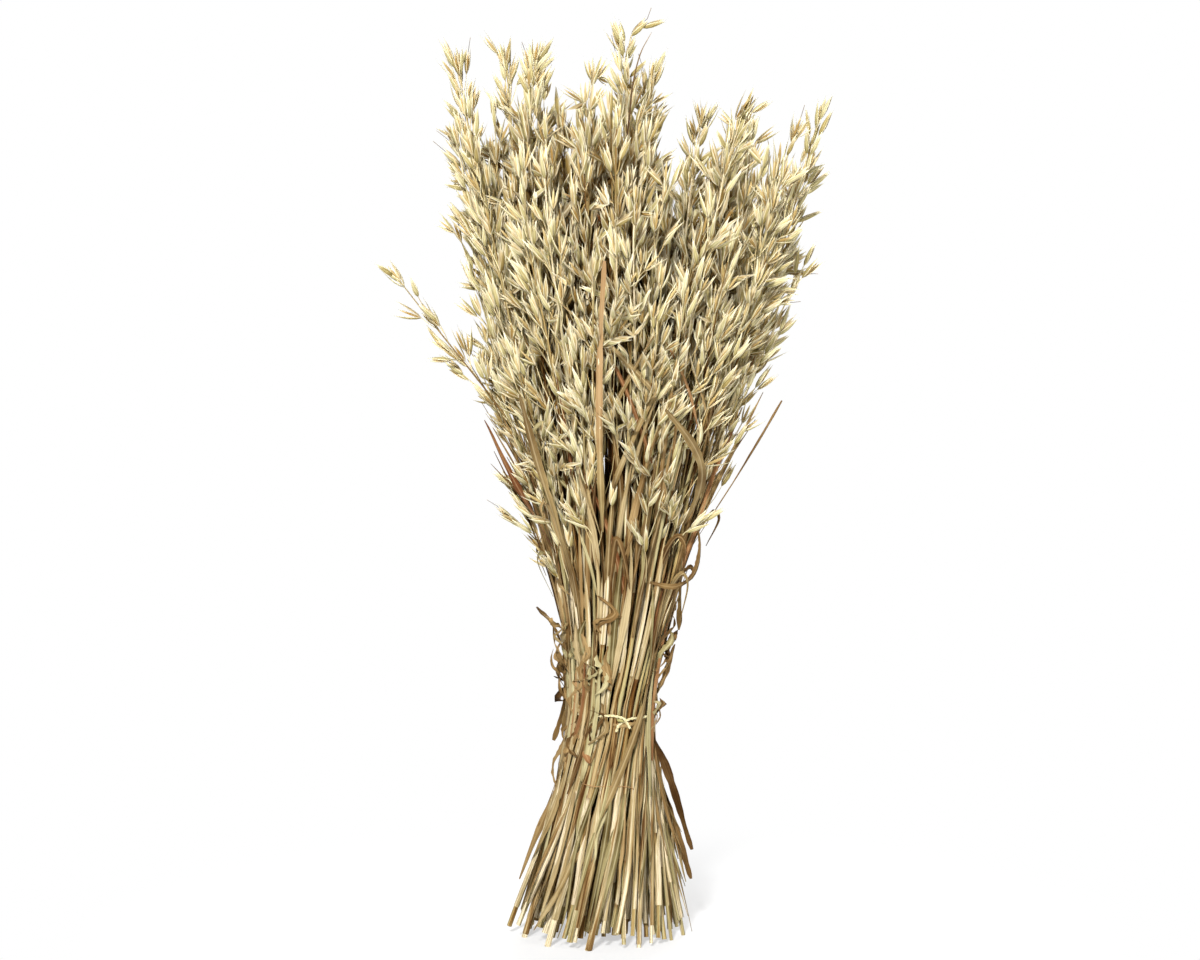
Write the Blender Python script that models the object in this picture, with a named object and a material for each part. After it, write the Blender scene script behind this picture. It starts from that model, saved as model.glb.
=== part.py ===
"""A standing bundle of dried oats: oat stalks with their heads, dry leaves, and the twine that ties them.

The stalks stand in rings where the twine grips them. Above and below that waist the whole sheaf fans out and
twists by one smooth rule, so stalks that are apart at the waist stay apart everywhere.
Every stalk of the sheaf is planned here, and an evenly spread choice of them is modelled as solids.
"""

import math
import random

import bmesh
import bpy
from mathutils import Vector

# Driving dimensions, in metres.
WAIST_HEIGHT = 0.172
WAIST_RADIUS = 0.030
RING_COUNT = 7
STALKS_PER_RING_STEP = 6
RING_STAGGER = 0.37
MODELLED = {1: ("middle_stalk", 2), 3: ("inner_stalk", 3), 5: ("outer_stalk", 3), 7: ("rim_stalk", 2)}
CULM_RADIUS = 0.0019
NECK_RADIUS = 0.0011
CULM_SIDES = 6
TIE_RADIUS = 0.0012
KNOT_BEARING = -78
LAP_DEGREES = 338
LAP_STEPS = 24
FIRST_END_DROP = 0.008
SECOND_END_DROP = 0.010
STEPS_PER_TWINE_POINT = 2
CLEARANCE = 0.0003

# How the sheaf fans and twists away from its waist. The head's spread is what it gains over HEAD_RISE, partly
# along a straight line, partly along a curve that is steepest half way. The tie adds a twist of TIE_TWIST radians
# just above it, most of it within TIE_TWIST_RISE. The others are per metre of height.
TIE_GRIP = 0.012
FOOT_SPREAD = 4.5
FOOT_TWIST = 7.0
HEAD_SPREAD = 3.1
HEAD_RISE = 0.46
STRAIGHT_SHARE = 0.55
HEAD_TWIST = 1.1
TIE_TWIST = 0.34
TIE_TWIST_RISE = 0.05
LEAN = 0.044

# The crown: two lobes of heads with a notch between them, leaders that stand above it, low heads that lean
# out of the rim, and one stray. Leaders are (ring, place): top. Low heads are, for a ring, so many places of
# every few round it, with the range of their heights and of how far they nod out. A nod of the rim's heads
# grows from the neck to the tip by the power NOD_EASE.
LEFT_CROWN = 0.645
RIGHT_CROWN = 0.612
NOTCH_X = 0.052
NOTCH_DEPTH = 0.045
NOTCH_WIDTH = 0.016
PARTING = 0.006
LEADERS = {
    (1, 0): 0.668, (1, 4): 0.702, (3, 15): 0.634, (5, 0): 0.630, (5, 9): 0.676, (5, 12): 0.680,
    (5, 15): 0.682, (5, 18): 0.668, (5, 24): 0.638, (7, 2): 0.626, (7, 16): 0.683, (7, 34): 0.624,
    (7, 38): 0.634,
}
LOW_HEADS = {
    6: (3, (1,), (0.52, 0.61), (0.006, 0.014)),
    7: (4, (1, 2), (0.46, 0.56), (0.014, 0.026)),
}
STRAY = (7, 18)
STRAY_TOP = 0.520
STRAY_REACH = 0.081

# Heads: whorls of spikelets up the top of each stalk, and one spikelet at its tip.
HEAD_LENGTH = (0.165, 0.225)
WHORL_COUNT = 4
WHORL_HEIGHT = 0.003
SPIKELET_LENGTH = 0.036
SPIKELET_RADIUS = 0.0026
BELLY_SHARE = 0.62
CELL_RADIUS = 0.0037
WIDEST_REACH = 0.017
TIP_LENGTH = 0.024
TIP_BELLY_SHARE = 0.4
TIP_RADIUS = 0.0006
NOD = 0.011
NOD_EASE = 1.4

# Leaves: a blade is a thin strip, creased along its middle. Each point of its route is its bearing in degrees
# round the sheaf (0 to the right, -90 to the front), its height, and its distance outside the outermost
# culms.
LEAF_THICKNESS = 0.0008
LEAF_CREASE = 0.0009
LEAF_END_SHARE = 0.35
LEAF_FULLNESS = 0.5
STEPS_PER_POINT = 3
LEAVES = (
    ("tall_front_leaf", 0.0056, "rust", ((-103, 0.316, 0.0014), (-101, 0.37, 0.019), (-101, 0.44, 0.020),
                                         (-99, 0.52, 0.022))),
    ("long_left_leaf", 0.0075, "tan", ((-134, 0.262, 0.001), (-133, 0.32, 0.012), (-132, 0.37, 0.024),
                                       (-131, 0.42, 0.034))),
    ("rusty_left_leaf", 0.0065, "rust", ((-152, 0.296, 0.0019), (-160, 0.340, 0.016), (-174, 0.395, 0.028))),
    ("crossing_right_leaf", 0.0075, "tan", ((-34, 0.318, 0.0006), (-52, 0.365, 0.024), (-76, 0.412, 0.034))),
    ("dark_right_leaf", 0.0030, "brown", ((-12, 0.290, 0.0006), (-9, 0.355, 0.022), (-5, 0.410, 0.036))),
    ("looped_leaf", 0.0050, "brown", ((-60, 0.276, 0.0006), (-38, 0.272, 0.009), (-23, 0.281, 0.014),
                                      (-22, 0.300, 0.013), (-32, 0.322, 0.009))),
    ("cut_right_leaf", 0.0080, "tan", ((-27, 0.300, 0.0006), (-19, 0.262, 0.007), (-14, 0.236, 0.010))),
    ("right_scrap_leaf", 0.0050, "brown", ((-12, 0.181, 0.0006), (-4, 0.200, 0.006), (-9, 0.224, 0.009))),
    ("left_waist_leaf", 0.0060, "brown", ((-170, 0.222, 0.0006), (-176, 0.182, 0.004), (-171, 0.150, 0.010))),
    ("left_scrap_leaf", 0.0050, "brown", ((172, 0.212, 0.0006), (167, 0.236, 0.010), (176, 0.251, 0.018))),
    ("tie_crossing_leaf", 0.0065, "tan", ((-101, 0.090, 0.001), (-81, 0.126, 0.002), (-55, 0.168, 0.0052),
                                           (-38, 0.196, 0.001))),
    ("short_crossing_leaf", 0.0060, "rust", ((-148, 0.160, 0.001), (-128, 0.150, 0.001),
                                             (-112, 0.138, 0.004))),
    ("hanging_right_leaf", 0.0065, "brown", ((-19, 0.160, 0.0006), (-10, 0.118, 0.010), (-8, 0.066, 0.018))),
    ("low_right_leaf", 0.0055, "brown", ((16, 0.135, 0.0006), (13, 0.075, 0.009), (12, 0.038, 0.014))),
    ("left_foot_leaf", 0.0070, "tan", ((-150, 0.130, 0.0006), (-158, 0.095, 0.003), (-166, 0.060, 0.007))),
    ("back_leaf", 0.0080, "tan", ((58, 0.270, 0.0006), (66, 0.34, 0.018), (72, 0.42, 0.034))),
    ("back_waist_leaf", 0.0070, "brown", ((92, 0.226, 0.001), (104, 0.178, 0.0045), (118, 0.130, 0.009))),
    ("back_left_leaf", 0.0075, "rust", ((146, 0.280, 0.0006), (138, 0.345, 0.020), (128, 0.405, 0.034))),
)

# How far below the crown a stalk of each ring may end, from the middle ring outwards.
DROP = (0.03, 0.04, 0.06, 0.08, 0.10, 0.12, 0.14, 0.15)
SIDE_SHARE = 0.45
STANDING_EVERY = 4
RAISED_FOOT = (0.002, 0.016)

SHARP_ANGLE = math.radians(50)
ROUGHNESS = 0.75
COLORS = {
    "straw": (0.60, 0.50, 0.28),
    "twine": (0.68, 0.62, 0.42),
    "tan": (0.47, 0.35, 0.18),
    "rust": (0.42, 0.20, 0.10),
    "brown": (0.26, 0.16, 0.08),
}


def spread_at(height):
    """How many times wider the sheaf is at a height than at its waist."""
    above = height - WAIST_HEIGHT
    away = math.hypot(above, TIE_GRIP) - TIE_GRIP
    if above < 0:
        return 1 + FOOT_SPREAD * away
    rise = away / HEAD_RISE
    curved = min(1, rise) ** 2 * (3 - 2 * min(1, rise))
    return 1 + HEAD_SPREAD * (STRAIGHT_SHARE * rise + (1 - STRAIGHT_SHARE) * curved)


def axis_at(height):
    """The middle of the sheaf at a height: it leans a little to one side."""
    return Vector((LEAN * (height - WAIST_HEIGHT), 0, height))


def sheaf_point(waist_x, waist_y, height):
    """Where the line through a point of the waist has got to at a height."""
    above = height - WAIST_HEIGHT
    away = math.hypot(above, TIE_GRIP) - TIE_GRIP
    spread = spread_at(height)
    turn = -FOOT_TWIST * away
    if above > 0:
        turn = HEAD_TWIST * away + TIE_TWIST * (1 - math.exp(-away / TIE_TWIST_RISE))
    x = spread * waist_x - turn * waist_y
    y = spread * waist_y + turn * waist_x
    rise = max(0, above) / (RIGHT_CROWN - WAIST_HEIGHT)
    x += PARTING * rise * math.tanh((x - NOTCH_X) / NOTCH_WIDTH)
    return axis_at(height) + Vector((x, y, 0))


def crown_height(x):
    """How high the heads reach at a place across the sheaf."""
    lobe = LEFT_CROWN if x < NOTCH_X else RIGHT_CROWN
    return lobe - NOTCH_DEPTH * math.exp(-(((x - NOTCH_X) / NOTCH_WIDTH) ** 2))


class Stalk:
    """One stalk's plan: its place at the waist, the heights of its parts, and how its head nods outwards."""

    def __init__(self, ring, place):
        chance = random.Random(1000 * ring + place)
        self.ring = ring
        self.place = place
        around = 2 * math.pi * (place + RING_STAGGER * ring) / max(1, STALKS_PER_RING_STEP * ring)
        radius = WAIST_RADIUS * ring / RING_COUNT
        self.waist_x = radius * math.cos(around)
        self.waist_y = radius * math.sin(around)
        is_foot = ring == RING_COUNT and place % STANDING_EVERY == 0
        foot_height = chance.uniform(*RAISED_FOOT)
        self.foot = 0 if is_foot else foot_height
        across = sheaf_point(self.waist_x, self.waist_y, RIGHT_CROWN).x
        side = abs(across - axis_at(RIGHT_CROWN).x) / (WAIST_RADIUS * spread_at(RIGHT_CROWN))
        drop = DROP[ring] * (1 - (1 - SIDE_SHARE) * side**2)
        self.top = crown_height(across) - drop * chance.random()
        self.nod = NOD * chance.uniform(0.6, 1.0) if ring == RING_COUNT else 0
        every, places, tops, nods = LOW_HEADS.get(ring, (1, (), (), ()))
        if (ring, place) in LEADERS:
            self.top = LEADERS[ring, place]
        elif (ring, place) == STRAY:
            self.top = STRAY_TOP
            self.nod = STRAY_REACH
        elif place % every in places:
            self.top = chance.uniform(*tops)
            self.nod = chance.uniform(*nods)
        self.head_low = self.top - chance.uniform(*HEAD_LENGTH)

    def centre(self, height):
        """The middle of the stalk at a height."""
        point = sheaf_point(self.waist_x, self.waist_y, height)
        if self.nod and height > self.head_low:
            outward = point - axis_at(height)
            share = (height - self.head_low) / (self.top - self.head_low)
            point += outward.normalized() * self.nod * share**NOD_EASE
        return point

    def radius(self, height):
        """The culm tapers to its neck, and on to the tip of the head."""
        if height < self.head_low:
            share = (height - self.foot) / (self.head_low - self.foot)
            return CULM_RADIUS + (NECK_RADIUS - CULM_RADIUS) * share
        share = (height - self.head_low) / (self.top - self.head_low)
        return NECK_RADIUS + (TIP_RADIUS - NECK_RADIUS) * min(1, share)


def planned_stalks():
    """Every stalk of the sheaf, ring by ring from the middle."""
    return [
        Stalk(ring, place)
        for ring in range(RING_COUNT + 1)
        for place in range(max(1, STALKS_PER_RING_STEP * ring))
    ]


def solid_name(stalk):
    """The name of this stalk's solid, or None if it isn't in the evenly spread choice that is modelled."""
    if stalk.ring not in MODELLED:
        return None
    kind, every = MODELLED[stalk.ring]
    return None if stalk.place % every else f"{kind}_{stalk.place // every + 1:02d}"


def plain_material(name, color):
    """A dry, matt material of one colour."""
    material = bpy.data.materials.new(name)
    material.use_nodes = True
    shader = material.node_tree.nodes["Principled BSDF"]
    shader.inputs["Base Color"].default_value = (*color, 1)
    shader.inputs["Roughness"].default_value = ROUGHNESS
    return material


def add_object(name, bm, material):
    """Makes a smooth-shaded object from a finished bmesh."""
    bmesh.ops.recalc_face_normals(bm, faces=bm.faces)
    mesh = bpy.data.meshes.new(name)
    bm.to_mesh(mesh)
    bm.free()
    mesh.shade_smooth()
    mesh.set_sharp_from_angle(angle=SHARP_ANGLE)
    mesh.materials.append(material)
    obj = bpy.data.objects.new(name, mesh)
    bpy.context.scene.collection.objects.link(obj)
    return obj


def level_ring(bm, centre, radius, sides=CULM_SIDES):
    """A level ring of points round a centre."""
    ring = []
    for side in range(sides):
        angle = 2 * math.pi * side / sides
        offset = Vector((math.cos(angle), math.sin(angle), 0)) * radius
        ring.append(bm.verts.new(centre + offset))
    return ring


def join_rings(bm, lower, upper):
    """The side faces between two rings, in order round them."""
    count = len(lower)
    return [
        bm.faces.new((lower[i], lower[(i + 1) % count], upper[(i + 1) % count], upper[i]))
        for i in range(count)
    ]


def close_with_point(bm, ring, point):
    """Closes a ring with a cone of faces that meet at a point."""
    tip = bm.verts.new(point)
    for i, vert in enumerate(ring):
        bm.faces.new((vert, ring[(i + 1) % len(ring)], tip))


def culm_levels(stalk):
    """The heights of the rings up a bare culm, closest together at the waist."""
    below = WAIST_HEIGHT - 2 * TIE_GRIP
    above = WAIST_HEIGHT + 2 * TIE_GRIP
    middle = (above + stalk.head_low) / 2
    return [stalk.foot, (stalk.foot + below) / 2, below, WAIST_HEIGHT, above, middle]


def whorl_levels(stalk):
    """The heights at which the whorls of spikelets leave the stalk."""
    length = stalk.top - TIP_LENGTH - stalk.head_low
    return [stalk.head_low + length * i / WHORL_COUNT for i in range(WHORL_COUNT)]


def grow_spikelet(bm, face, stalk, height):
    """Draws a face of the stalk out into one spikelet on its thin branch."""
    base = face.calc_center_median()
    upward = (stalk.centre(height + 0.01) - stalk.centre(height)).normalized()
    outward = base - stalk.centre(base.z)
    outward = (outward - upward * outward.dot(upward)).normalized()
    sideways = upward.cross(outward)
    reach = min(WIDEST_REACH, CELL_RADIUS * spread_at(height))
    lean = math.asin(reach / SPIKELET_LENGTH)
    direction = upward * math.cos(lean) + outward * math.sin(lean)
    inward = upward * math.sin(lean) - outward * math.cos(lean)
    belly = bmesh.ops.extrude_discrete_faces(bm, faces=[face])["faces"][0]
    centre = base + direction * SPIKELET_LENGTH * BELLY_SHARE
    for vert in belly.verts:
        offset = vert.co - base
        side = math.copysign(SPIKELET_RADIUS, offset.dot(sideways))
        rise = math.copysign(SPIKELET_RADIUS, offset.dot(upward))
        vert.co = centre + (sideways * side + inward * rise) * math.sqrt(0.5)
    tip = bmesh.ops.poke(bm, faces=[belly])["verts"][0]
    tip.co = base + direction * SPIKELET_LENGTH


def make_stalk(stalk, material):
    """One oat stalk: a culm cut level at its foot, with its head of spikelets, all one solid."""
    bm = bmesh.new()
    lower = level_ring(bm, stalk.centre(stalk.foot), stalk.radius(stalk.foot))
    bm.faces.new(reversed(lower))
    for height in culm_levels(stalk)[1:]:
        upper = level_ring(bm, stalk.centre(height), stalk.radius(height))
        join_rings(bm, lower, upper)
        lower = upper
    growing = []
    for whorl, height in enumerate(whorl_levels(stalk)):
        upper = level_ring(bm, stalk.centre(height), stalk.radius(height))
        join_rings(bm, lower, upper)
        top = height + WHORL_HEIGHT
        lower = level_ring(bm, stalk.centre(top), stalk.radius(top))
        faces = join_rings(bm, upper, lower)
        growing += [(face, height) for face in faces[whorl % 2 :: 2]]
    neck = stalk.top - TIP_LENGTH
    for height, radius in ((neck, TIP_RADIUS), (neck + TIP_BELLY_SHARE * TIP_LENGTH, SPIKELET_RADIUS)):
        upper = level_ring(bm, stalk.centre(height), radius)
        join_rings(bm, lower, upper)
        lower = upper
    close_with_point(bm, lower, stalk.centre(stalk.top))
    for face, height in growing:
        grow_spikelet(bm, face, stalk, height)
    return add_object(solid_name(stalk), bm, material)


def rim_point(bearing, height, outside):
    """A point by its bearing round the sheaf, its height, and its distance outside the outermost culms."""
    middle = axis_at(height)
    rim = (sheaf_point(WAIST_RADIUS, 0, height) - middle).length + CULM_RADIUS
    angle = math.radians(bearing)
    return middle + Vector((math.cos(angle), math.sin(angle), 0)) * (rim + outside)


def curve_through(points, steps):
    """A smooth curve through all the points, with a number of steps between each two (Catmull-Rom)."""
    padded = [points[0] * 2 - points[1], *points, points[-1] * 2 - points[-2]]
    curve = []
    for i in range(1, len(padded) - 2):
        a, b, c, d = padded[i - 1 : i + 3]
        for step in range(steps):
            t = step / steps
            curve.append((b * 2 + (c - a) * t + (a * 2 - b * 5 + c * 4 - d) * t**2
                          + (b * 3 - a - c * 3 + d) * t**3) / 2)
    return [*curve, padded[-2]]


def route_through(waypoints, steps):
    """A smooth curve through points given as rim_point takes them, eased in those terms."""
    return [rim_point(*point) for point in curve_through([Vector(point) for point in waypoints], steps)]


def frames_along(route):
    """Each point of a route over the sheaf, with the directions out of the sheaf and across the route."""
    last = len(route) - 1
    for i, point in enumerate(route):
        along = (route[min(i + 1, last)] - route[max(i - 1, 0)]).normalized()
        outward = point - axis_at(point.z)
        outward = (outward - along * outward.dot(along)).normalized()
        yield point, outward, along.cross(outward)


def close_tube(bm, rings):
    """The sides between rings of points, and a flat face over each end."""
    bm.faces.new(reversed(rings[0]))
    for lower, upper in zip(rings, rings[1:]):
        join_rings(bm, lower, upper)
    bm.faces.new(rings[-1])


def make_leaf(name, width, waypoints, material):
    """A dry leaf blade: a thin creased strip that lies over the sheaf and narrows to its ends."""
    route = route_through(waypoints, STEPS_PER_POINT)
    bm = bmesh.new()
    rings = []
    for i, (point, outward, across) in enumerate(frames_along(route)):
        share = i / (len(route) - 1)
        middle_share = math.sin(math.pi * share) ** LEAF_FULLNESS
        half = width / 2 * (LEAF_END_SHARE + (1 - LEAF_END_SHARE) * middle_share)
        crease = point + outward * LEAF_CREASE
        back = crease - outward * LEAF_THICKNESS
        corners = (point - across * half, back, point + across * half, crease)
        rings.append([bm.verts.new(at) for at in corners])
    close_tube(bm, rings)
    return add_object(name, bm, material)


def twine_route():
    """The twine's run: an end that hangs in front, once round the waist, and out again over itself."""
    under = CLEARANCE + TIE_RADIUS
    over = under + 2 * (TIE_RADIUS + CLEARANCE)
    drop = TIE_RADIUS + CLEARANCE
    first_end = [
        (KNOT_BEARING + 11, WAIST_HEIGHT - FIRST_END_DROP, over),
        (KNOT_BEARING + 7, WAIST_HEIGHT - FIRST_END_DROP / 2, over),
        (KNOT_BEARING + 2, WAIST_HEIGHT, over),
    ]
    start = KNOT_BEARING - 10
    lap = [
        (start - LAP_DEGREES * i / LAP_STEPS, WAIST_HEIGHT + drop * (1 - 2 * i / LAP_STEPS), under)
        for i in range(LAP_STEPS + 1)
    ]
    second_end = [
        (KNOT_BEARING - 361, WAIST_HEIGHT - SECOND_END_DROP / 2, under),
        (KNOT_BEARING - 366, WAIST_HEIGHT - SECOND_END_DROP, over),
    ]
    return route_through([*first_end, *lap, *second_end], STEPS_PER_TWINE_POINT)


def make_tie(material):
    """The twine: one round cord, laid along its route just clear of the outermost stalks."""
    bm = bmesh.new()
    rings = []
    for point, outward, across in frames_along(twine_route()):
        ring = []
        for side in range(CULM_SIDES):
            angle = 2 * math.pi * side / CULM_SIDES
            offset = outward * math.cos(angle) + across * math.sin(angle)
            ring.append(bm.verts.new(point + offset * TIE_RADIUS))
        rings.append(ring)
    close_tube(bm, rings)
    return add_object("twine_tie", bm, material)


def stand_on_origin(objects):
    """Shifts every mesh so that the middle of the bundle's underside is at the origin."""
    points = [vert.co for obj in objects for vert in obj.data.vertices]
    low = Vector(min(point[axis] for point in points) for axis in range(3))
    high = Vector(max(point[axis] for point in points) for axis in range(3))
    shift = -Vector(((low.x + high.x) / 2, (low.y + high.y) / 2, low.z))
    for obj in objects:
        for vert in obj.data.vertices:
            vert.co += shift


def main():
    for obj in list(bpy.data.objects):
        bpy.data.objects.remove(obj)
    materials = {name: plain_material(name, color) for name, color in COLORS.items()}
    stalks = [stalk for stalk in planned_stalks() if solid_name(stalk)]
    objects = [make_stalk(stalk, materials["straw"]) for stalk in stalks]
    for name, width, color, waypoints in LEAVES:
        objects.append(make_leaf(name, width, waypoints, materials[color]))
    objects.append(make_tie(materials["twine"]))
    stand_on_origin(objects)


main()
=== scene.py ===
"""The looks of a standing bundle of dried oats: its stalks with their spikelets, its leaves and its twine.

The sheaf follows the model's own plan: the same rings of stalks, fanned out and twisted by the same rule. The
modelled stalks are remade in detail in place of their solids, and the sheaf's other stalks fill the places
between. All is worked out in the plan's terms, and each mesh is then shifted to where the model stands.
"""

import math
import random

import bpy
import numpy as np
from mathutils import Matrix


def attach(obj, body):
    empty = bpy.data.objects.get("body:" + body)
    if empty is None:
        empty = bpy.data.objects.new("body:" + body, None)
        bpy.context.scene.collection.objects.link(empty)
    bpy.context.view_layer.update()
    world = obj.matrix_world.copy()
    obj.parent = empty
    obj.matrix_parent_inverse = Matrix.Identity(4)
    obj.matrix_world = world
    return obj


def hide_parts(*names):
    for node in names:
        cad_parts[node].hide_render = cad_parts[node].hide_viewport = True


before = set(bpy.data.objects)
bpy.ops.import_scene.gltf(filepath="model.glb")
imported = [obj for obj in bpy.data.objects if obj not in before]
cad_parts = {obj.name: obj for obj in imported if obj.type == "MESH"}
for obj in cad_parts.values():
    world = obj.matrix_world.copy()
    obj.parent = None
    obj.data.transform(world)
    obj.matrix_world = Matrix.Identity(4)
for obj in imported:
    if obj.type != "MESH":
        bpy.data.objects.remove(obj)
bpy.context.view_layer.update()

# === The sheaf's plan, in metres, as in the model. ===

WAIST_HEIGHT = 0.172
WAIST_RADIUS = 0.030
RING_COUNT = 7
STALKS_PER_RING_STEP = 6
RING_STAGGER = 0.37
MODELLED = {1: ("middle_stalk", 2), 3: ("inner_stalk", 3), 5: ("outer_stalk", 3), 7: ("rim_stalk", 2)}
CULM_RADIUS = 0.0019
TIE_RADIUS = 0.0012
CLEARANCE = 0.0003

# Above and below the tie the stalks spread out and turn round the sheaf, the heads more and more with height.
TIE_GRIP = 0.012
FOOT_SPREAD = 4.5
FOOT_TWIST = 7.0
HEAD_SPREAD = 3.1
HEAD_RISE = 0.46
STRAIGHT_SHARE = 0.55
HEAD_TWIST = 1.1
TIE_TWIST = 0.34
TIE_TWIST_RISE = 0.05
LEAN = 0.044

# The crown has two lobes with a notch between them, and the stalks part at the notch.
LEFT_CROWN = 0.645
RIGHT_CROWN = 0.612
NOTCH_X = 0.052
NOTCH_DEPTH = 0.045
NOTCH_WIDTH = 0.016
PARTING = 0.006
# The stalks that stand out of the crown, by ring and place, and how high each reaches.
LEADERS = {
    (1, 0): 0.668, (1, 4): 0.702, (3, 15): 0.634, (5, 0): 0.630, (5, 9): 0.676, (5, 12): 0.680,
    (5, 15): 0.682, (5, 18): 0.668, (5, 24): 0.638, (7, 2): 0.626, (7, 16): 0.683, (7, 34): 0.624,
    (7, 38): 0.634,
}
# Low heads hang at the outside: for a ring, one stalk in so many, which of those, their tops and their nods.
LOW_HEADS = {
    6: (3, (1,), (0.52, 0.61), (0.006, 0.014)),
    7: (4, (1, 2), (0.46, 0.56), (0.014, 0.026)),
}
# The one stalk that strays out to the left.
STRAY = (7, 18)
STRAY_TOP = 0.520
STRAY_REACH = 0.081
HEAD_LENGTH = (0.165, 0.225)
NOD = 0.011
NOD_SHARES = (0.6, 1.0)
NOD_EASE = 1.4
# How far below the crown the heads of each ring may end, and the share of that at the sheaf's sides.
DROP = (0.03, 0.04, 0.06, 0.08, 0.10, 0.12, 0.14, 0.15)
SIDE_SHARE = 0.45
STANDING_EVERY = 4
RAISED_FOOT = (0.002, 0.016)
LEVEL = 1e-5
# Each run of chance has a seed of its own.
PLAN_SEED = 1000
STALK_SEED = 7000
LEAF_SEED = 300
STRIP_SEED = 41
SCRAP_SEED = 52
SPRAY_SEED = 63

# Each leaf's name, width, colour and route. A route's points are a bearing round the sheaf in degrees (0 to
# the right, -90 to the front), a height, and a distance outside the outermost culms.
LEAVES = (
    ("tall_front_leaf", 0.0056, "rust", ((-103, 0.316, 0.0014), (-101, 0.37, 0.019), (-101, 0.44, 0.020),
     (-99, 0.52, 0.022))),
    ("long_left_leaf", 0.0075, "tan", ((-134, 0.262, 0.001), (-133, 0.32, 0.012), (-132, 0.37, 0.024),
     (-131, 0.42, 0.034))),
    ("rusty_left_leaf", 0.0065, "rust", ((-152, 0.296, 0.0019), (-160, 0.340, 0.016), (-174, 0.395, 0.028))),
    ("crossing_right_leaf", 0.0075, "tan", ((-34, 0.318, 0.0006), (-52, 0.365, 0.024), (-76, 0.412, 0.034))),
    ("dark_right_leaf", 0.0030, "brown", ((-12, 0.290, 0.0006), (-9, 0.355, 0.022), (-5, 0.410, 0.036))),
    ("looped_leaf", 0.0050, "brown", ((-60, 0.276, 0.0006), (-38, 0.272, 0.009), (-23, 0.281, 0.014),
     (-22, 0.300, 0.013), (-32, 0.322, 0.009))),
    ("cut_right_leaf", 0.0080, "tan", ((-27, 0.300, 0.0006), (-19, 0.262, 0.007), (-14, 0.236, 0.010))),
    ("right_scrap_leaf", 0.0050, "brown", ((-12, 0.181, 0.0006), (-4, 0.200, 0.006), (-9, 0.224, 0.009))),
    ("left_waist_leaf", 0.0060, "brown", ((-170, 0.222, 0.0006), (-176, 0.182, 0.004), (-171, 0.150, 0.010))),
    ("left_scrap_leaf", 0.0050, "brown", ((172, 0.212, 0.0006), (167, 0.236, 0.010), (176, 0.251, 0.018))),
    ("tie_crossing_leaf", 0.0065, "tan", ((-101, 0.090, 0.001), (-81, 0.126, 0.002), (-55, 0.168, 0.0052),
     (-38, 0.196, 0.001))),
    ("short_crossing_leaf", 0.0060, "rust", ((-148, 0.160, 0.001), (-128, 0.150, 0.001),
     (-112, 0.138, 0.004))),
    ("hanging_right_leaf", 0.0065, "brown", ((-19, 0.160, 0.0006), (-10, 0.118, 0.010), (-8, 0.066, 0.018))),
    ("low_right_leaf", 0.0055, "brown", ((16, 0.135, 0.0006), (13, 0.075, 0.009), (12, 0.038, 0.014))),
    ("left_foot_leaf", 0.0070, "tan", ((-150, 0.130, 0.0006), (-158, 0.095, 0.003), (-166, 0.060, 0.007))),
    ("back_leaf", 0.0080, "tan", ((58, 0.270, 0.0006), (66, 0.34, 0.018), (72, 0.42, 0.034))),
    ("back_waist_leaf", 0.0070, "brown", ((92, 0.226, 0.001), (104, 0.178, 0.0045), (118, 0.130, 0.009))),
    ("back_left_leaf", 0.0075, "rust", ((146, 0.280, 0.0006), (138, 0.345, 0.020), (128, 0.405, 0.034))),
)


def away_from_tie(height):
    """How far a height is from the tie, eased so that the stalks leave it in a curve."""
    return np.hypot(height - WAIST_HEIGHT, TIE_GRIP) - TIE_GRIP


def spread_at(height):
    """How many times wider the sheaf is at a height than at its waist."""
    away = away_from_tie(height)
    rise = away / HEAD_RISE
    curved = np.minimum(1, rise) ** 2 * (3 - 2 * np.minimum(1, rise))
    upper = 1 + HEAD_SPREAD * (STRAIGHT_SHARE * rise + (1 - STRAIGHT_SHARE) * curved)
    return np.where(height < WAIST_HEIGHT, 1 + FOOT_SPREAD * away, upper)


def axis_at(height):
    """The middle of the sheaf at a height, or at each of an array of heights."""
    height = np.asarray(height, float)
    return np.stack([LEAN * (height - WAIST_HEIGHT), np.zeros_like(height), height], axis=-1)


def sheaf_point(waist_x, waist_y, height):
    """Where the line through a point of the waist has got to at a height."""
    above = height - WAIST_HEIGHT
    away = away_from_tie(height)
    spread = spread_at(height)
    upper = HEAD_TWIST * away + TIE_TWIST * (1 - np.exp(-away / TIE_TWIST_RISE))
    turn = np.where(above > 0, upper, -FOOT_TWIST * away)
    x = spread * waist_x - turn * waist_y
    y = spread * waist_y + turn * waist_x
    rise = np.maximum(0, above) / (RIGHT_CROWN - WAIST_HEIGHT)
    x = x + PARTING * rise * np.tanh((x - NOTCH_X) / NOTCH_WIDTH)
    return axis_at(height) + np.stack([x, y, np.zeros_like(x)], axis=-1)


def crown_height(x):
    """How high the heads reach at a place across the sheaf."""
    lobe = np.where(x < NOTCH_X, LEFT_CROWN, RIGHT_CROWN)
    return lobe - NOTCH_DEPTH * np.exp(-(((x - NOTCH_X) / NOTCH_WIDTH) ** 2))


def unit(vectors):
    """The vectors scaled to a length of one."""
    return vectors / np.maximum(np.linalg.norm(vectors, axis=-1, keepdims=True), 1e-9)


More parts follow.
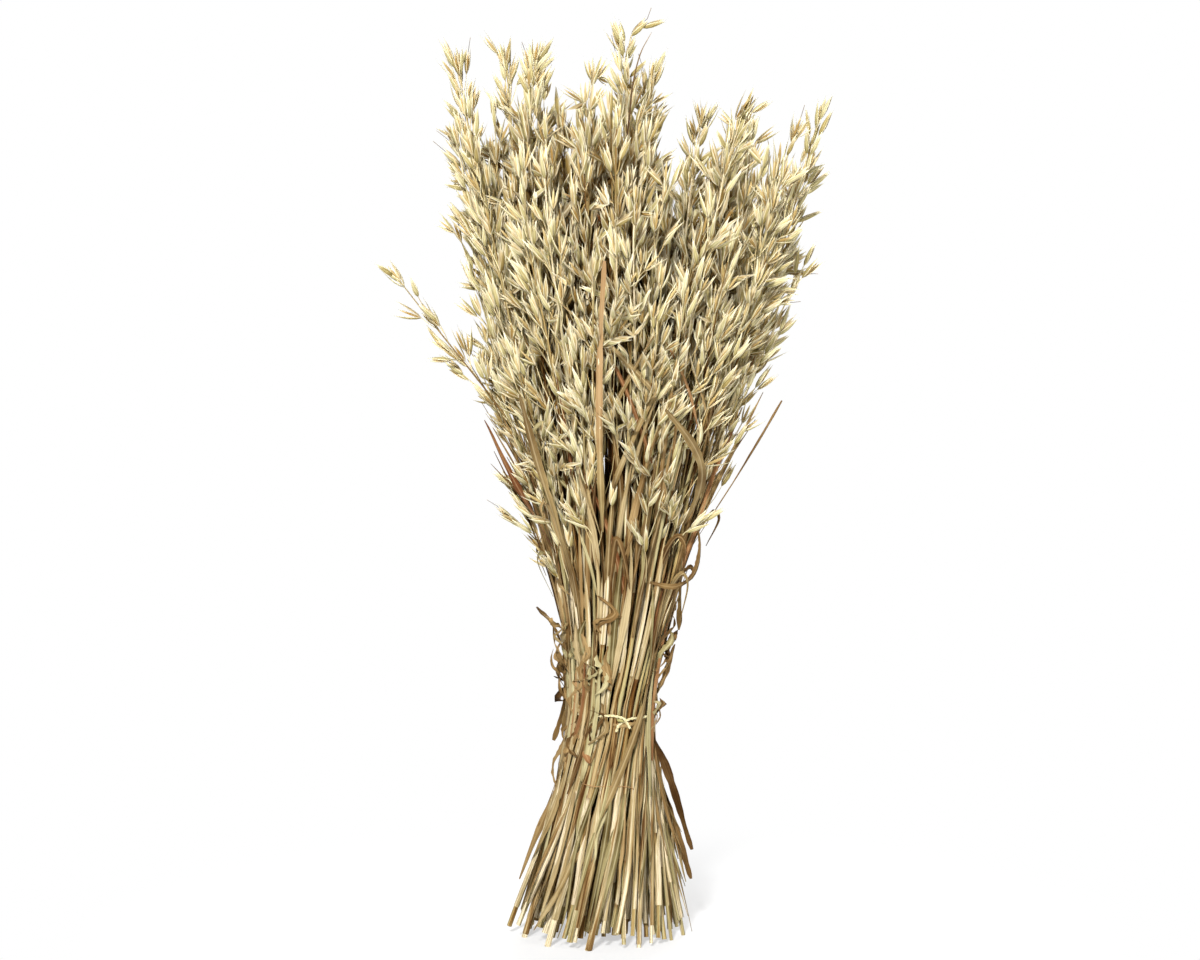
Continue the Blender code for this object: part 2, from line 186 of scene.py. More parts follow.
class Stalk:
    """One stalk's plan: its place at the waist, the heights of its parts, and how its head nods outwards."""

    def __init__(self, ring, place):
        chance = random.Random(PLAN_SEED * ring + place)
        self.ring = ring
        self.place = place
        around = 2 * math.pi * (place + RING_STAGGER * ring) / max(1, STALKS_PER_RING_STEP * ring)
        radius = WAIST_RADIUS * ring / RING_COUNT
        self.waist_x = radius * math.cos(around)
        self.waist_y = radius * math.sin(around)
        is_foot = ring == RING_COUNT and place % STANDING_EVERY == 0
        foot_height = chance.uniform(*RAISED_FOOT)
        self.foot = 0 if is_foot else foot_height
        across = sheaf_point(self.waist_x, self.waist_y, RIGHT_CROWN)[0]
        side = abs(across - axis_at(RIGHT_CROWN)[0]) / (WAIST_RADIUS * spread_at(RIGHT_CROWN))
        drop = DROP[ring] * (1 - (1 - SIDE_SHARE) * side**2)
        self.top = crown_height(across) - drop * chance.random()
        self.nod = NOD * chance.uniform(*NOD_SHARES) if ring == RING_COUNT else 0
        every, places, tops, nods = LOW_HEADS.get(ring, (1, (), (), ()))
        self.is_leader = (ring, place) in LEADERS
        if self.is_leader:
            self.top = LEADERS[ring, place]
        elif (ring, place) == STRAY:
            self.top = STRAY_TOP
            self.nod = STRAY_REACH
        elif place % every in places:
            self.top = chance.uniform(*tops)
            self.nod = chance.uniform(*nods)
        self.head_low = self.top - chance.uniform(*HEAD_LENGTH)

    def head_share(self, heights):
        """The share of the way up the head at each height, and 0 below it."""
        return np.maximum(0, heights - self.head_low) / (self.top - self.head_low)

    def centre(self, heights):
        """The middle of the stalk at each height."""
        heights = np.asarray(heights, float)
        points = sheaf_point(self.waist_x, self.waist_y, heights)
        nod = self.nod * self.head_share(heights) ** NOD_EASE
        return points + unit(points - axis_at(heights)) * nod[..., None]

    def outward(self):
        """The level direction from the sheaf's middle to this stalk."""
        if self.ring == 0:
            return np.array([0.0, -1.0, 0.0])
        return unit(np.array([self.waist_x, self.waist_y, 0]))


def planned_stalks():
    """Every stalk of the sheaf, ring by ring from the middle."""
    return [
        Stalk(ring, place)
        for ring in range(RING_COUNT + 1)
        for place in range(max(1, STALKS_PER_RING_STEP * ring))
    ]


def solid_name(stalk):
    """The name of this stalk's solid, or None if it isn't in the evenly spread choice that is modelled."""
    if stalk.ring not in MODELLED:
        return None
    kind, every = MODELLED[stalk.ring]
    return None if stalk.place % every else f"{kind}_{stalk.place // every + 1:02d}"


def shift_to_model():
    """How far the model stands from the plan, by the middle of one stalk's level foot."""
    stalk = Stalk(RING_COUNT, 0)
    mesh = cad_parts[solid_name(stalk)].data
    points = np.empty(3 * len(mesh.vertices))
    mesh.vertices.foreach_get("co", points)
    points = points.reshape(-1, 3)
    foot = points[points[:, 2] < points[:, 2].min() + LEVEL]
    return (foot.min(axis=0) + foot.max(axis=0)) / 2 - stalk.centre(stalk.foot)


SHIFT = shift_to_model()


def rim_point(bearing, height, outside):
    """Points by bearing round the sheaf in degrees, height, and distance outside the culms."""
    middle = axis_at(height)
    rim = np.linalg.norm(sheaf_point(WAIST_RADIUS, 0, height) - middle, axis=-1) + CULM_RADIUS
    angle = np.radians(bearing)
    level = np.stack([np.cos(angle), np.sin(angle), np.zeros_like(angle)], axis=-1)
    return middle + level * np.asarray(rim + outside)[..., None]


def bearing_gain(start, end):
    """How many degrees the stalks turn round the sheaf between two heights."""
    way = sheaf_point(WAIST_RADIUS, 0, np.array([start, end])) - axis_at([start, end])
    angles = np.arctan2(way[:, 1], way[:, 0])
    return math.degrees(angles[1] - angles[0])


def curve_through(points, steps):
    """A smooth curve through all the points, with a number of steps between each two (Catmull-Rom)."""
    points = np.asarray(points, float)
    padded = np.concatenate([[points[0] * 2 - points[1]], points, [points[-1] * 2 - points[-2]]])
    t = np.arange(steps)[:, None] / steps
    curve = []
    for i in range(1, len(padded) - 2):
        a, b, c, d = padded[i - 1 : i + 3]
        curve.append((b * 2 + (c - a) * t + (a * 2 - b * 5 + c * 4 - d) * t**2
                      + (b * 3 - a - c * 3 + d) * t**3) / 2)
    return np.concatenate([*curve, [padded[-2]]])


def route_through(waypoints, steps):
    """A smooth route through points given as rim_point takes them, eased in those terms."""
    return rim_point(*curve_through(waypoints, steps).T)


# === Meshes: a piece is a set of closed tubes of any section. ===

MAP_MARGIN = 0.05
MAP_END = 0.06
SHARP_ANGLE = math.radians(55)


class Piece:
    """Closed tubes gathered into one mesh. A tube is rings of points, and a point that closes it at each end.

    Each stretch of a tube has its own square cell in the OFBake map. The strip map holds the share of the way
    round the tube and the metres along it. The look attribute holds the tube's tone, which inside the sheaf
    also carries painted shade, the share of the way along it, and a mark for what is special at a place, such
    as a node, a margin or a glume's inner face with its painted shade.
    """

    def __init__(self):
        self.points = []
        self.looks = []
        self.corners = {3: [], 4: []}
        self.maps = {3: [], 4: []}
        self.finishes = {3: [], 4: []}
        self.count = 0
        self.cells = 0

    def add(self, rings, starts, ends, finish, tone, mark=0.0, rows_per_cell=0):
        """Adds tubes of one shape: rings is (tubes, rows, sides, 3), and starts and ends are (tubes, 3)."""
        tubes, rows, sides = rings.shape[:3]
        rows_per_cell = rows_per_cell or rows - 1
        starts, ends = starts[:, None], ends[:, None]
        middles = np.concatenate([starts, rings.mean(axis=2), ends], axis=1)
        along = np.linalg.norm(np.diff(middles, axis=1), axis=2).cumsum(axis=1)
        along = np.concatenate([np.zeros((tubes, 1)), along], axis=1)
        share = along / along[:, -1:]
        self.points.append(np.concatenate([rings.reshape(tubes, -1, 3), starts, ends], axis=1))
        self.looks.append(ring_looks(tone, share, mark, tubes, rows, sides))
        first = self.count + (rows * sides + 2) * np.arange(tubes)
        cells = -(-(rows - 1) // rows_per_cell)
        first_cell = self.cells + cells * np.arange(tubes)
        for vertex, row, u, v, cell in tube_faces(rows, sides, rows_per_cell):
            size = vertex.shape[-1]
            self.corners[size].append((first[:, None, None] + vertex).reshape(-1, size))
            values = np.broadcast_arrays(first_cell[:, None, None] + cell, u, v, along[:, row])
            self.maps[size].append(np.stack(values, axis=-1).reshape(-1, size, 4))
            self.finishes[size] += [finish] * (tubes * len(vertex))
        self.count += tubes * (rows * sides + 2)
        self.cells += tubes * cells

    def make(self, name, slot, replaced=()):
        """Makes the finished object, which rides on the bundle's body."""
        quads, triangles = (np.concatenate(self.corners[size]) for size in (4, 3))
        corners = np.concatenate([quads.ravel(), triangles.ravel()])
        starts = np.concatenate([4 * np.arange(len(quads)), quads.size + 3 * np.arange(len(triangles))])
        maps = rows_of(self.maps[4] + self.maps[3], 4)
        finishes = self.finishes[4] + self.finishes[3]
        used = sorted(set(finishes))
        index = {finish: i for i, finish in enumerate(used)}
        mesh = bpy.data.meshes.new(name)
        mesh.vertices.add(self.count)
        mesh.vertices.foreach_set("co", (rows_of(self.points, 3) + SHIFT).ravel())
        mesh.loops.add(len(corners))
        mesh.loops.foreach_set("vertex_index", corners.astype(np.int32))
        mesh.polygons.add(len(starts))
        mesh.polygons.foreach_set("loop_start", starts.astype(np.int32))
        mesh.polygons.foreach_set("material_index", np.array([index[f] for f in finishes], np.int32))
        mesh.update(calc_edges=True)
        across = math.ceil(math.sqrt(self.cells))
        corner = np.stack([maps[:, 0] % across, maps[:, 0] // across], axis=-1)
        baked = (corner + MAP_MARGIN + (1 - 2 * MAP_MARGIN) * maps[:, 1:3]) / across
        mesh.uv_layers.new(name="OFBake").data.foreach_set("uv", baked.ravel())
        mesh.uv_layers.new(name="strip").data.foreach_set("uv", maps[:, [1, 3]].ravel())
        look = mesh.attributes.new("look", "FLOAT_VECTOR", "POINT")
        look.data.foreach_set("vector", rows_of(self.looks, 3).ravel())
        mesh.shade_smooth()
        mesh.set_sharp_from_angle(angle=SHARP_ANGLE)
        for finish in used:
            mesh.materials.append(FINISHES[finish])
        obj = bpy.data.objects.new(name, mesh)
        bpy.context.scene.collection.objects.link(obj)
        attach(obj, "root")
        if replaced:
            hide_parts(*replaced)


def rows_of(arrays, width):
    """Arrays joined into one, as rows of a width."""
    return np.concatenate([array.reshape(-1, width) for array in arrays])


def ring_looks(tone, share, mark, tubes, rows, sides):
    """The look of each point of some tubes, ring by ring and then at the two ends."""
    looks = np.empty((tubes, rows * sides + 2, 3))
    looks[:, :, 0] = np.reshape(tone, (-1, 1))
    looks[:, :-2, 1] = np.repeat(share[:, 1:-1], sides, axis=1)
    looks[:, -2, 1] = 0
    looks[:, -1, 1] = 1
    marks = np.broadcast_to(mark, (tubes, rows, sides))
    looks[:, :-2, 2] = marks.reshape(tubes, -1)
    looks[:, -2, 2] = marks[:, 0].mean(axis=1)
    looks[:, -1, 2] = marks[:, -1].mean(axis=1)
    return looks


def tube_faces(rows, sides, rows_per_cell):
    """A tube's faces in three sets, its sides, start and end.

    Each set gives its corners' vertices, their rings, their places in a map cell, and the cell.
    """
    last = rows - 1
    row, side = (a.reshape(-1, 1) for a in np.meshgrid(np.arange(last), np.arange(sides), indexing="ij"))
    ring = row + [0, 0, 1, 1]
    place = side + [0, 1, 1, 0]
    cell = row // rows_per_cell
    v = MAP_END + (1 - 2 * MAP_END) * (ring - cell * rows_per_cell) / rows_per_cell
    yield ring * sides + place % sides, ring + 1, place / sides, v, cell
    side = np.arange(sides)
    middle = np.full(sides, rows * sides)
    start = np.stack([middle, (side + 1) % sides, side], axis=-1)
    u = np.stack([side + 0.5, side + 1, side], axis=-1) / sides
    yield start, np.broadcast_to([0, 1, 1], start.shape), u, np.array([0, MAP_END, MAP_END]), 0
    end = np.stack([last * sides + side, last * sides + (side + 1) % sides, middle + 1], axis=-1)
    u = np.stack([side, side + 1, side + 0.5], axis=-1) / sides
    cell = (last - 1) // rows_per_cell
    top = MAP_END + (1 - 2 * MAP_END) * (last - cell * rows_per_cell) / rows_per_cell
    rings = np.broadcast_to([rows, rows, rows + 1], end.shape)
    yield end, rings, u, np.array([top, top, top + MAP_END]), cell


def frames_along(route, reference):
    """At each point of a route, unit vectors along it, towards the reference, and across both."""
    along = unit(np.gradient(route, axis=0))
    reference = np.broadcast_to(reference, route.shape)
    towards = unit(reference - along * (along * reference).sum(axis=1, keepdims=True))
    return along, towards, np.cross(along, towards)


def round_rings(route, reference, sides, wide, narrow, turn=0.0):
    """Rings of an oval tube along a route: its half widths across and towards the reference, and its turn."""
    _, towards, across = frames_along(route, reference)
    angles = 2 * math.pi * np.arange(sides) / sides
    high = np.asarray(narrow)[..., None] * np.cos(angles)
    wide = np.asarray(wide)[..., None] * np.sin(angles)
    x = high * math.cos(turn) - wide * math.sin(turn)
    y = high * math.sin(turn) + wide * math.cos(turn)
    return route[:, None] + towards[:, None] * x[..., None] + across[:, None] * y[..., None]


# The places across a blade of the points of its upper and its under side, from edge to edge.
BLADE_TOP = np.array([-1.0, -0.5, 0.0, 0.5, 1.0])
BLADE_UNDERSIDE = np.array([0.6, 0.0, -0.6])
BLADE_THICKNESS = 0.0003
LEAST_ROLL = 1e-3


def blade_rings(route, reference, half_widths, roll, twist):
    """Rings of a leaf blade that faces the reference, rolled across its width and twisted as it goes.

    Roll is the angle to which each half of its width bends down, and twist its turn. Both are in radians.
    """
    _, towards, across = frames_along(route, reference)
    roll = np.maximum(LEAST_ROLL, np.broadcast_to(roll, len(route)))
    twist = np.broadcast_to(twist, len(route))[:, None]
    face = towards * np.cos(twist) + across * np.sin(twist)
    side = across * np.cos(twist) - towards * np.sin(twist)
    share = np.concatenate([BLADE_TOP, BLADE_UNDERSIDE])
    angle = share * roll[:, None]
    radius = (half_widths / roll)[:, None]
    below = np.where(np.arange(len(share)) < len(BLADE_TOP), 0.0, BLADE_THICKNESS)
    height = radius * (np.cos(angle) - 1) - below
    width = radius * np.sin(angle)
    return route[:, None] + face[:, None] * height[..., None] + side[:, None] * width[..., None]


def add_one(piece, rings, start, end, finish, tone, mark=0.0, rows_per_cell=0):
    """Adds a single tube to a piece."""
    start, end = np.asarray(start), np.asarray(end)
    piece.add(rings[None], start[None], end[None], finish, tone, mark, rows_per_cell)


# === Materials: dry plant matter, coloured by each tube's tone and by fine streaks along it. ===

SHEEN = 0.05
STREAK_SHIFT = 37.0
# A darkened colour's green and blue fall by these powers of what its red falls by.
BROWNER = (1.1, 1.35)
# The tone rises between these heights by so much: towards the heads, and down to the foot.
HEAD_LIFT = (0.40, 0.56, 0.35)
FOOT_LIFT = (0.175, 0.075, 0.30)
GLUME_VEINS = 9
TWINE_TURNS = 3.0
TWINE_FIBRES_PER_METRE = 500


def linear(color):
    """A colour given as on a screen, from 0 to 255, in the linear terms of a shader."""
    shares = np.array(color) / 255
    return (*np.where(shares <= 0.04045, shares / 12.92, ((shares + 0.055) / 1.055) ** 2.4), 1)


def fill(tree, sockets, values):
    """Links each socket to what fills it, or sets it, and leaves it alone where the value is None."""
    for socket, value in zip(sockets, values):
        if isinstance(value, bpy.types.NodeSocket):
            tree.links.new(value, socket)
        elif value is not None:
            socket.default_value = value


class Paint:
    """A material's nodes, made one after another."""

    def __init__(self, name, roughness):
        self.material = bpy.data.materials.new(name)
        self.material.use_nodes = True
        self.tree = self.material.node_tree
        self.shader = self.tree.nodes["Principled BSDF"]
        self.shader.inputs["Roughness"].default_value = roughness
        self.shader.inputs["Specular IOR Level"].default_value = SHEEN
        look = self.node("ShaderNodeAttribute", [])
        look.attribute_name = "look"
        self.tone, self.share, self.mark = self.parts(look.outputs["Vector"])
        strip = self.node("ShaderNodeUVMap", [])
        strip.uv_map = "strip"
        self.around, self.metres, _ = self.parts(strip.outputs[0])
        self.place = self.node("ShaderNodeTexCoord", []).outputs["Object"]
        self.height = self.parts(self.place)["Z"]

    def node(self, kind, inputs):
        """A node of a kind, with its inputs filled in order."""
        node = self.tree.nodes.new(kind)
        fill(self.tree, node.inputs, inputs)
        return node

    def parts(self, vector):
        """The three parts of a vector."""
        return self.node("ShaderNodeSeparateXYZ", [vector]).outputs

    def math(self, operation, *inputs):
        """The result of an operation on numbers."""
        node = self.node("ShaderNodeMath", inputs)
        node.operation = operation
        return node.outputs[0]

    def steps(self, value, low, high):
        """A value's share of the way from low to high, eased, and held at 0 and 1 outside them."""
        node = self.node("ShaderNodeMapRange", [value, low, high, 0.0, 1.0])
        node.interpolation_type = "SMOOTHSTEP"
        return node.outputs[0]

    def wave(self, value, times=1):
        """A value's waves between 0 and 1, so many for each 1 of it."""
        sine = self.math("SINE", self.math("MULTIPLY", value, 2 * math.pi * times))
        return self.math("MULTIPLY_ADD", sine, 0.5, 0.5)

    def falls(self, value, low, high):
        """The rest of 1 that steps leaves."""
        return self.math("SUBTRACT", 1.0, self.steps(value, low, high))

    def vary(self, tone, value, least, most):
        """The tone moved by from least to most, as a value goes from 0 to 1."""
        return self.math("ADD", tone, self.math("MULTIPLY_ADD", value, most - least, least))

    def lift(self, tone, low, high, amount):
        """The tone raised by an amount from one height to another."""
        return self.math("MULTIPLY_ADD", self.steps(self.height, low, high), amount, tone)

    def noise(self, scale, detail, vector=None):
        """Noise from 0 to 1, by place unless a vector is given."""
        node = self.node("ShaderNodeTexNoise", [self.place if vector is None else vector])
        node.inputs["Scale"].default_value = scale
        node.inputs["Detail"].default_value = detail
        return node.outputs[0]

    def streaks(self, across, per_metre, detail=2.0):
        """Noise drawn out along a tube: so many streaks round it, and so many changes a metre."""
        turn = self.math("MULTIPLY", self.around, 2 * math.pi)
        round_x = self.math("MULTIPLY", self.math("COSINE", turn), across / (2 * math.pi))
        round_y = self.math("MULTIPLY", self.math("SINE", turn), across / (2 * math.pi))
        along = self.math("MULTIPLY", self.metres, per_metre)
        shifted = self.math("MULTIPLY_ADD", self.tone, STREAK_SHIFT, along)
        vector = self.node("ShaderNodeCombineXYZ", [round_x, round_y, shifted]).outputs[0]
        return self.noise(1.0, detail, vector)

    def ramp(self, value, *stops):
        """A colour by a value, from stops of (value, colour)."""
        node = self.node("ShaderNodeValToRGB", [value])
        elements = node.color_ramp.elements
        while len(elements) < len(stops):
            elements.new(0.5)
        for element, (at, color) in zip(elements, stops):
            element.position = at
            element.color = linear(color)
        return node.outputs[0]

    def mix(self, share, color, other, blend="MIX"):
        """One colour mixed with another by a share."""
        node = self.tree.nodes.new("ShaderNodeMix")
        node.data_type = "RGBA"
        node.blend_type = blend
        fill(self.tree, (node.inputs[0], node.inputs[6], node.inputs[7]), (share, color, other))
        return node.outputs[2]

    def tint(self, color, share, most, other, blend="MIX"):
        """A colour mixed with another, given as on a screen, by so much at most."""
        return self.mix(self.math("MULTIPLY", share, most), color, linear(other), blend)

    def darken(self, color, value, least):
        """A colour times least, and browner, where a value is 0, and unchanged where it is 1."""
        amount = self.math("MULTIPLY_ADD", value, 1 - least, least)
        green, blue = (self.math("POWER", amount, power) for power in BROWNER)
        brown = self.node("ShaderNodeCombineXYZ", [amount, green, blue]).outputs[0]
        return self.mix(1.0, color, brown, "MULTIPLY")

    def finish(self, color, height=None, strength=0.5, distance=0.0002):
        """Links the colour, and a bump of a height if one is given, and returns the material."""
        self.tree.links.new(color, self.shader.inputs["Base Color"])
        if height is not None:
            bump = self.node("ShaderNodeBump", [])
            bump.inputs["Strength"].default_value = strength
            bump.inputs["Distance"].default_value = distance
            self.tree.links.new(height, bump.inputs["Height"])
            self.tree.links.new(bump.outputs[0], self.shader.inputs["Normal"])
        return self.material


def culm_material():
    """Straw: brown through yellow and grey green to pale, finely ribbed, with darker nodes and specks. Its
    darkest browns are partly the straw's own range and partly painted shade on the culms inside the sheaf.
    """
    paint = Paint("straw_culm", 0.5)
    fine = paint.streaks(26, 18)
    broad = paint.streaks(6, 14, 3.0)
    patch = paint.noise(16, 3)
    tone = paint.vary(paint.tone, paint.steps(broad, 0.3, 0.7), -0.25, 0.25)
    tone = paint.vary(tone, patch, -0.25, 0.25)
    tone = paint.lift(tone, *HEAD_LIFT)
    tone = paint.lift(tone, *FOOT_LIFT)
    color = paint.ramp(
        tone, (0.0, (72, 42, 14)), (0.2, (124, 90, 44)), (0.42, (178, 154, 102)),
        (0.58, (166, 158, 114)), (0.76, (188, 174, 136)), (1.0, (228, 214, 182)),
    )
    color = paint.darken(color, paint.steps(fine, 0.36, 0.56), 0.48)
    specks = paint.steps(paint.streaks(30, 260, 3.0), 0.62, 0.74)
    color = paint.tint(color, specks, 0.65, (92, 60, 32))
    node = paint.steps(paint.mark, 0.1, 1.0)
    color = paint.tint(color, node, 0.75, (100, 68, 36))
    cut = paint.steps(paint.math("MULTIPLY", paint.mark, -1.0), 0.1, 0.6)
    color = paint.mix(cut, color, linear((240, 226, 184)))
    return paint.finish(color, fine, 0.8)


def sheath_material():
    """The leaf sheaths round the culms: flat straw with ribs and brown blotches."""
    paint = Paint("straw_sheath", 0.58)
    ribs = paint.streaks(40, 10)
    broad = paint.streaks(8, 16, 3.0)
    patch = paint.noise(22, 4)
    tone = paint.vary(paint.tone, paint.steps(broad, 0.35, 0.65), -0.4, 0.3)
    tone = paint.vary(tone, patch, -0.4, 0.4)
    tone = paint.lift(tone, *FOOT_LIFT)
    color = paint.ramp(
        tone, (0.0, (78, 50, 22)), (0.25, (134, 104, 62)), (0.5, (172, 149, 106)), (0.75, (176, 161, 122)),
        (1.0, (226, 210, 178)),
    )
    color = paint.darken(color, paint.steps(ribs, 0.3, 0.62), 0.58)
    return paint.finish(color, ribs, 0.8)


def glume_material():
    """The papery scales of a spikelet: veined, olive at the base, pale at the tip and along the margins, with
    painted shade on their inner faces and where they lie inside the sheaf.
    """
    paint = Paint("oat_glume", 0.52)
    veins = paint.wave(paint.around, GLUME_VEINS)
    patch = paint.noise(45, 2)
    tone = paint.vary(paint.tone, patch, -0.2, 0.2)
    # The ramp's dark end is reached mostly by painted shade on spikelets inside the sheaf.
    color = paint.ramp(
        tone, (0.0, (104, 80, 42)), (0.2, (144, 120, 68)), (0.42, (168, 151, 98)), (0.65, (190, 180, 133)),
        (1.0, (224, 216, 180)),
    )
    base = paint.falls(paint.share, 0.0, 0.45)
    color = paint.tint(color, base, 0.6, (196, 188, 140), "MULTIPLY")
    color = paint.darken(color, veins, 0.68)
    # Margins and tips stay pale only at higher tones, so the painted shade inside the sheaf dims them too.
    pale = paint.steps(paint.tone, 0.1, 0.55)
    margin = paint.math("MULTIPLY", paint.steps(paint.mark, 0.1, 0.5), pale)
    color = paint.tint(color, margin, 0.75, (246, 239, 212))
    # The inner faces, hollowed round the floret, are painted darker and browner: painted shade.
    painted_inner_face_shade = paint.steps(paint.mark, 0.6, 1.0)
    color = paint.tint(color, painted_inner_face_shade, 0.6, (208, 184, 136), "MULTIPLY")
    tip = paint.math("MULTIPLY", paint.steps(paint.share, 0.6, 1.0), pale)
    color = paint.tint(color, tip, 0.7, (246, 240, 214))
    broad = paint.falls(paint.share, 0.5, 0.8)
    return paint.finish(color, paint.math("MULTIPLY", veins, broad), 0.4, 0.0001)


def floret_material():
    """The husked grain inside a spikelet: smooth and golden brown."""
    paint = Paint("oat_floret", 0.42)
    fine = paint.streaks(12, 60)
    # The dark end is reached mostly by the painted shade of spikelets inside the sheaf.
    color = paint.ramp(paint.tone, (0.0, (92, 54, 24)), (0.4, (160, 130, 74)), (1.0, (214, 196, 144)))
    color = paint.darken(color, fine, 0.75)
    color = paint.tint(color, paint.steps(paint.share, 0.55, 1.0), 0.6, (234, 216, 168))
    return paint.finish(color, fine, 0.3)


def branch_material():
    """The thin branches of a head: pale straw, browner at low tones, mostly from painted shade on branches
    inside the sheaf.
    """
    paint = Paint("oat_branch", 0.55)
    fine = paint.streaks(6, 50)
    color = paint.ramp(paint.tone, (0.0, (112, 72, 34)), (0.35, (176, 150, 94)), (1.0, (236, 224, 180)))
    return paint.finish(paint.darken(color, fine, 0.78), fine, 0.3)


def awn_material():
    """The bristles that a few spikelets carry: dark brown at the foot, straw at the tip."""
    paint = Paint("oat_awn", 0.6)
    color = paint.ramp(paint.share, (0.0, (70, 50, 34)), (0.6, (92, 70, 48)), (1.0, (150, 124, 84)))
    return paint.finish(paint.darken(color, paint.streaks(3, 90), 0.7))


def leaf_material(name, dark, middle, light, blush=None):
    """A dry leaf: veined and blotched, with a paler rib and browner ends. A blush tints its far part."""
    paint = Paint(name, 0.62)
    fine = paint.streaks(60, 14)
    patch = paint.noise(30, 4)
    tone = paint.math("MULTIPLY_ADD", patch, 1.0, paint.math("MULTIPLY_ADD", paint.tone, 0.6, -0.3))
    color = paint.ramp(tone, (0.2, dark), (0.5, middle), (0.85, light))
    color = paint.darken(color, paint.steps(fine, 0.28, 0.65), 0.76)
    color = paint.darken(color, paint.steps(paint.streaks(18, 12, 3.0), 0.38, 0.6), 0.74)
    color = paint.tint(color, paint.steps(paint.mark, 0.4, 1.0), 0.4, light)
    ends = paint.math("ABSOLUTE", paint.math("MULTIPLY_ADD", paint.share, 2.0, -1.0))
    color = paint.tint(color, paint.steps(ends, 0.7, 1.0), 0.45, dark)
    if blush:
        color = paint.tint(color, paint.steps(paint.share, 0.1, 0.6), 0.5, blush)
    return paint.finish(color, fine, 0.7)


def twine_material():
    """Raffia twine: pale, with the fibres of each ply twisting along it."""
    paint = Paint("raffia_twine", 0.6)
    along = paint.math("MULTIPLY", paint.metres, TWINE_FIBRES_PER_METRE)
    fibres = paint.wave(paint.math("MULTIPLY_ADD", paint.around, TWINE_TURNS, along))
    tone = paint.math("MULTIPLY_ADD", paint.noise(120, 3), 0.5, paint.tone)
    color = paint.ramp(tone, (0.2, (150, 144, 88)), (0.6, (196, 184, 130)), (1.0, (230, 220, 178)))
    return paint.finish(paint.darken(color, fibres, 0.78), fibres, 0.5)


# The dark, middle and light colour of each kind of dry leaf, and the blush of its tip if it has one.
LEAF_COLOURS = {
    "tan": ((92, 68, 36), (152, 130, 88), (188, 170, 131)),
    "rust": ((104, 62, 34), (152, 110, 72), (182, 146, 104)),
    "blushed": ((104, 78, 42), (164, 144, 98), (190, 172, 128), (156, 116, 84)),
    "brown": ((72, 48, 24), (132, 104, 64), (172, 146, 102)),
    "olive": ((94, 80, 46), (152, 140, 98), (192, 182, 141)),
}
FINISHES = {
    "culm": culm_material(),
    "sheath": sheath_material(),
    "glume": glume_material(),
    "floret": floret_material(),
    "branch": branch_material(),
    "awn": awn_material(),
    **{kind: leaf_material(f"dry_{kind}_leaf", *colors) for kind, colors in LEAF_COLOURS.items()},
    "twine": twine_material(),
}

# === Spikelets: two boat-shaped glumes that open like a beak round a floret. ===

GLUME_LENGTH = (0.0190, 0.0245)
GLUME_HALF_WIDTH = (0.0015, 0.0021)
GLUME_SHAPE = (0.60, 1.25)
GLUME_WRAP = math.radians(70)
GLUME_THICKNESS = 0.0004
GLUME_BOW = 0.035
GLUME_CURL = (-0.03, 0.08)
GLUME_TONE_GAP = 0.06
MARGIN_WIDTH = 0.1
MARGIN_MARK = 0.5
# How likely each kind of opening is, and between which angles in degrees it lies.
OPENINGS = ((0.50, 2, 6), (0.32, 6, 12), (0.18, 12, 21))
SPIKELET_TONE = (0.64, 0.12)
SPIKELET_TONES = (0.0, 0.98)
FLORET_RADIUS = 0.0011
FLORET_SHAPE = (0.8, 0.7)
FLORET_PLACES = (0.15, 0.45, 0.8)
FLORET_SHARE = 0.72
FLORET_START = 0.0010
FLORET_STEM = 0.0005
AWN_SHARE = 0.06
AWN_LENGTH = (0.008, 0.018)
AWN_PARTS = (0.35, 0.60, 0.05)
AWN_START = 0.013
AWN_BEND = 0.5
AWN_RADIUS = 0.00022
# Parts inside the sheaf are painted browner and darker as painted shade: how fast, below what exposure, and
# how far below it that goes on.
PAINTED_SHADE_TONE = 2.5
PAINTED_SHADE_FROM = 0.985
PAINTED_SHADE_DEPTH = 0.25
TOP_EXPOSURE = 1.05
HEAD_DEPTH = 0.32
# For each detail: the exposure that it starts above, the rings' places along a glume, the angles of its outer
# and its inner face in degrees, and the floret's sides.
DETAILS = (
    (1.03, (0.03, 0.16, 0.38, 0.62, 0.84), (70, 38, -38, -70), (-35, 35), 4),
    (0.88, (0.05, 0.28, 0.58, 0.84), (70, 24, -24, -70), (-35, 35), 3),
    (-math.inf, (0.1, 0.35, 0.72), (70, -70), (0,), 3),
)
# Awns are left out at the last detail.
PLAIN_LEVEL = 2


def spindle(share, shape):
    """The half width of a glume or floret along its length, as a share of its widest."""
    skew, point = shape
    return np.sin(np.pi * share**skew) ** point


def place_local(local, bases, sides, backs, directions):
    """Points given along a spikelet's side, back and direction, put where each spikelet is."""
    grow = (slice(None),) + (None,) * (local.ndim - 2)
    x, y, z = (local[..., i, None] for i in range(3))
    return bases[grow] + x * sides[grow] + y * backs[grow] + z * directions[grow]


def glume_points(across, back, share, length, opening, curl):
    """Local points of a glume that opens away from the spikelet's middle by an angle, with its tip curled."""
    y = back + length * (GLUME_BOW * np.sin(np.pi * share) + curl * share**3)
    z = share * length
    opened = y * np.cos(opening) + z * np.sin(opening)
    return np.stack([across, opened, z * np.cos(opening) - y * np.sin(opening)], axis=-1)


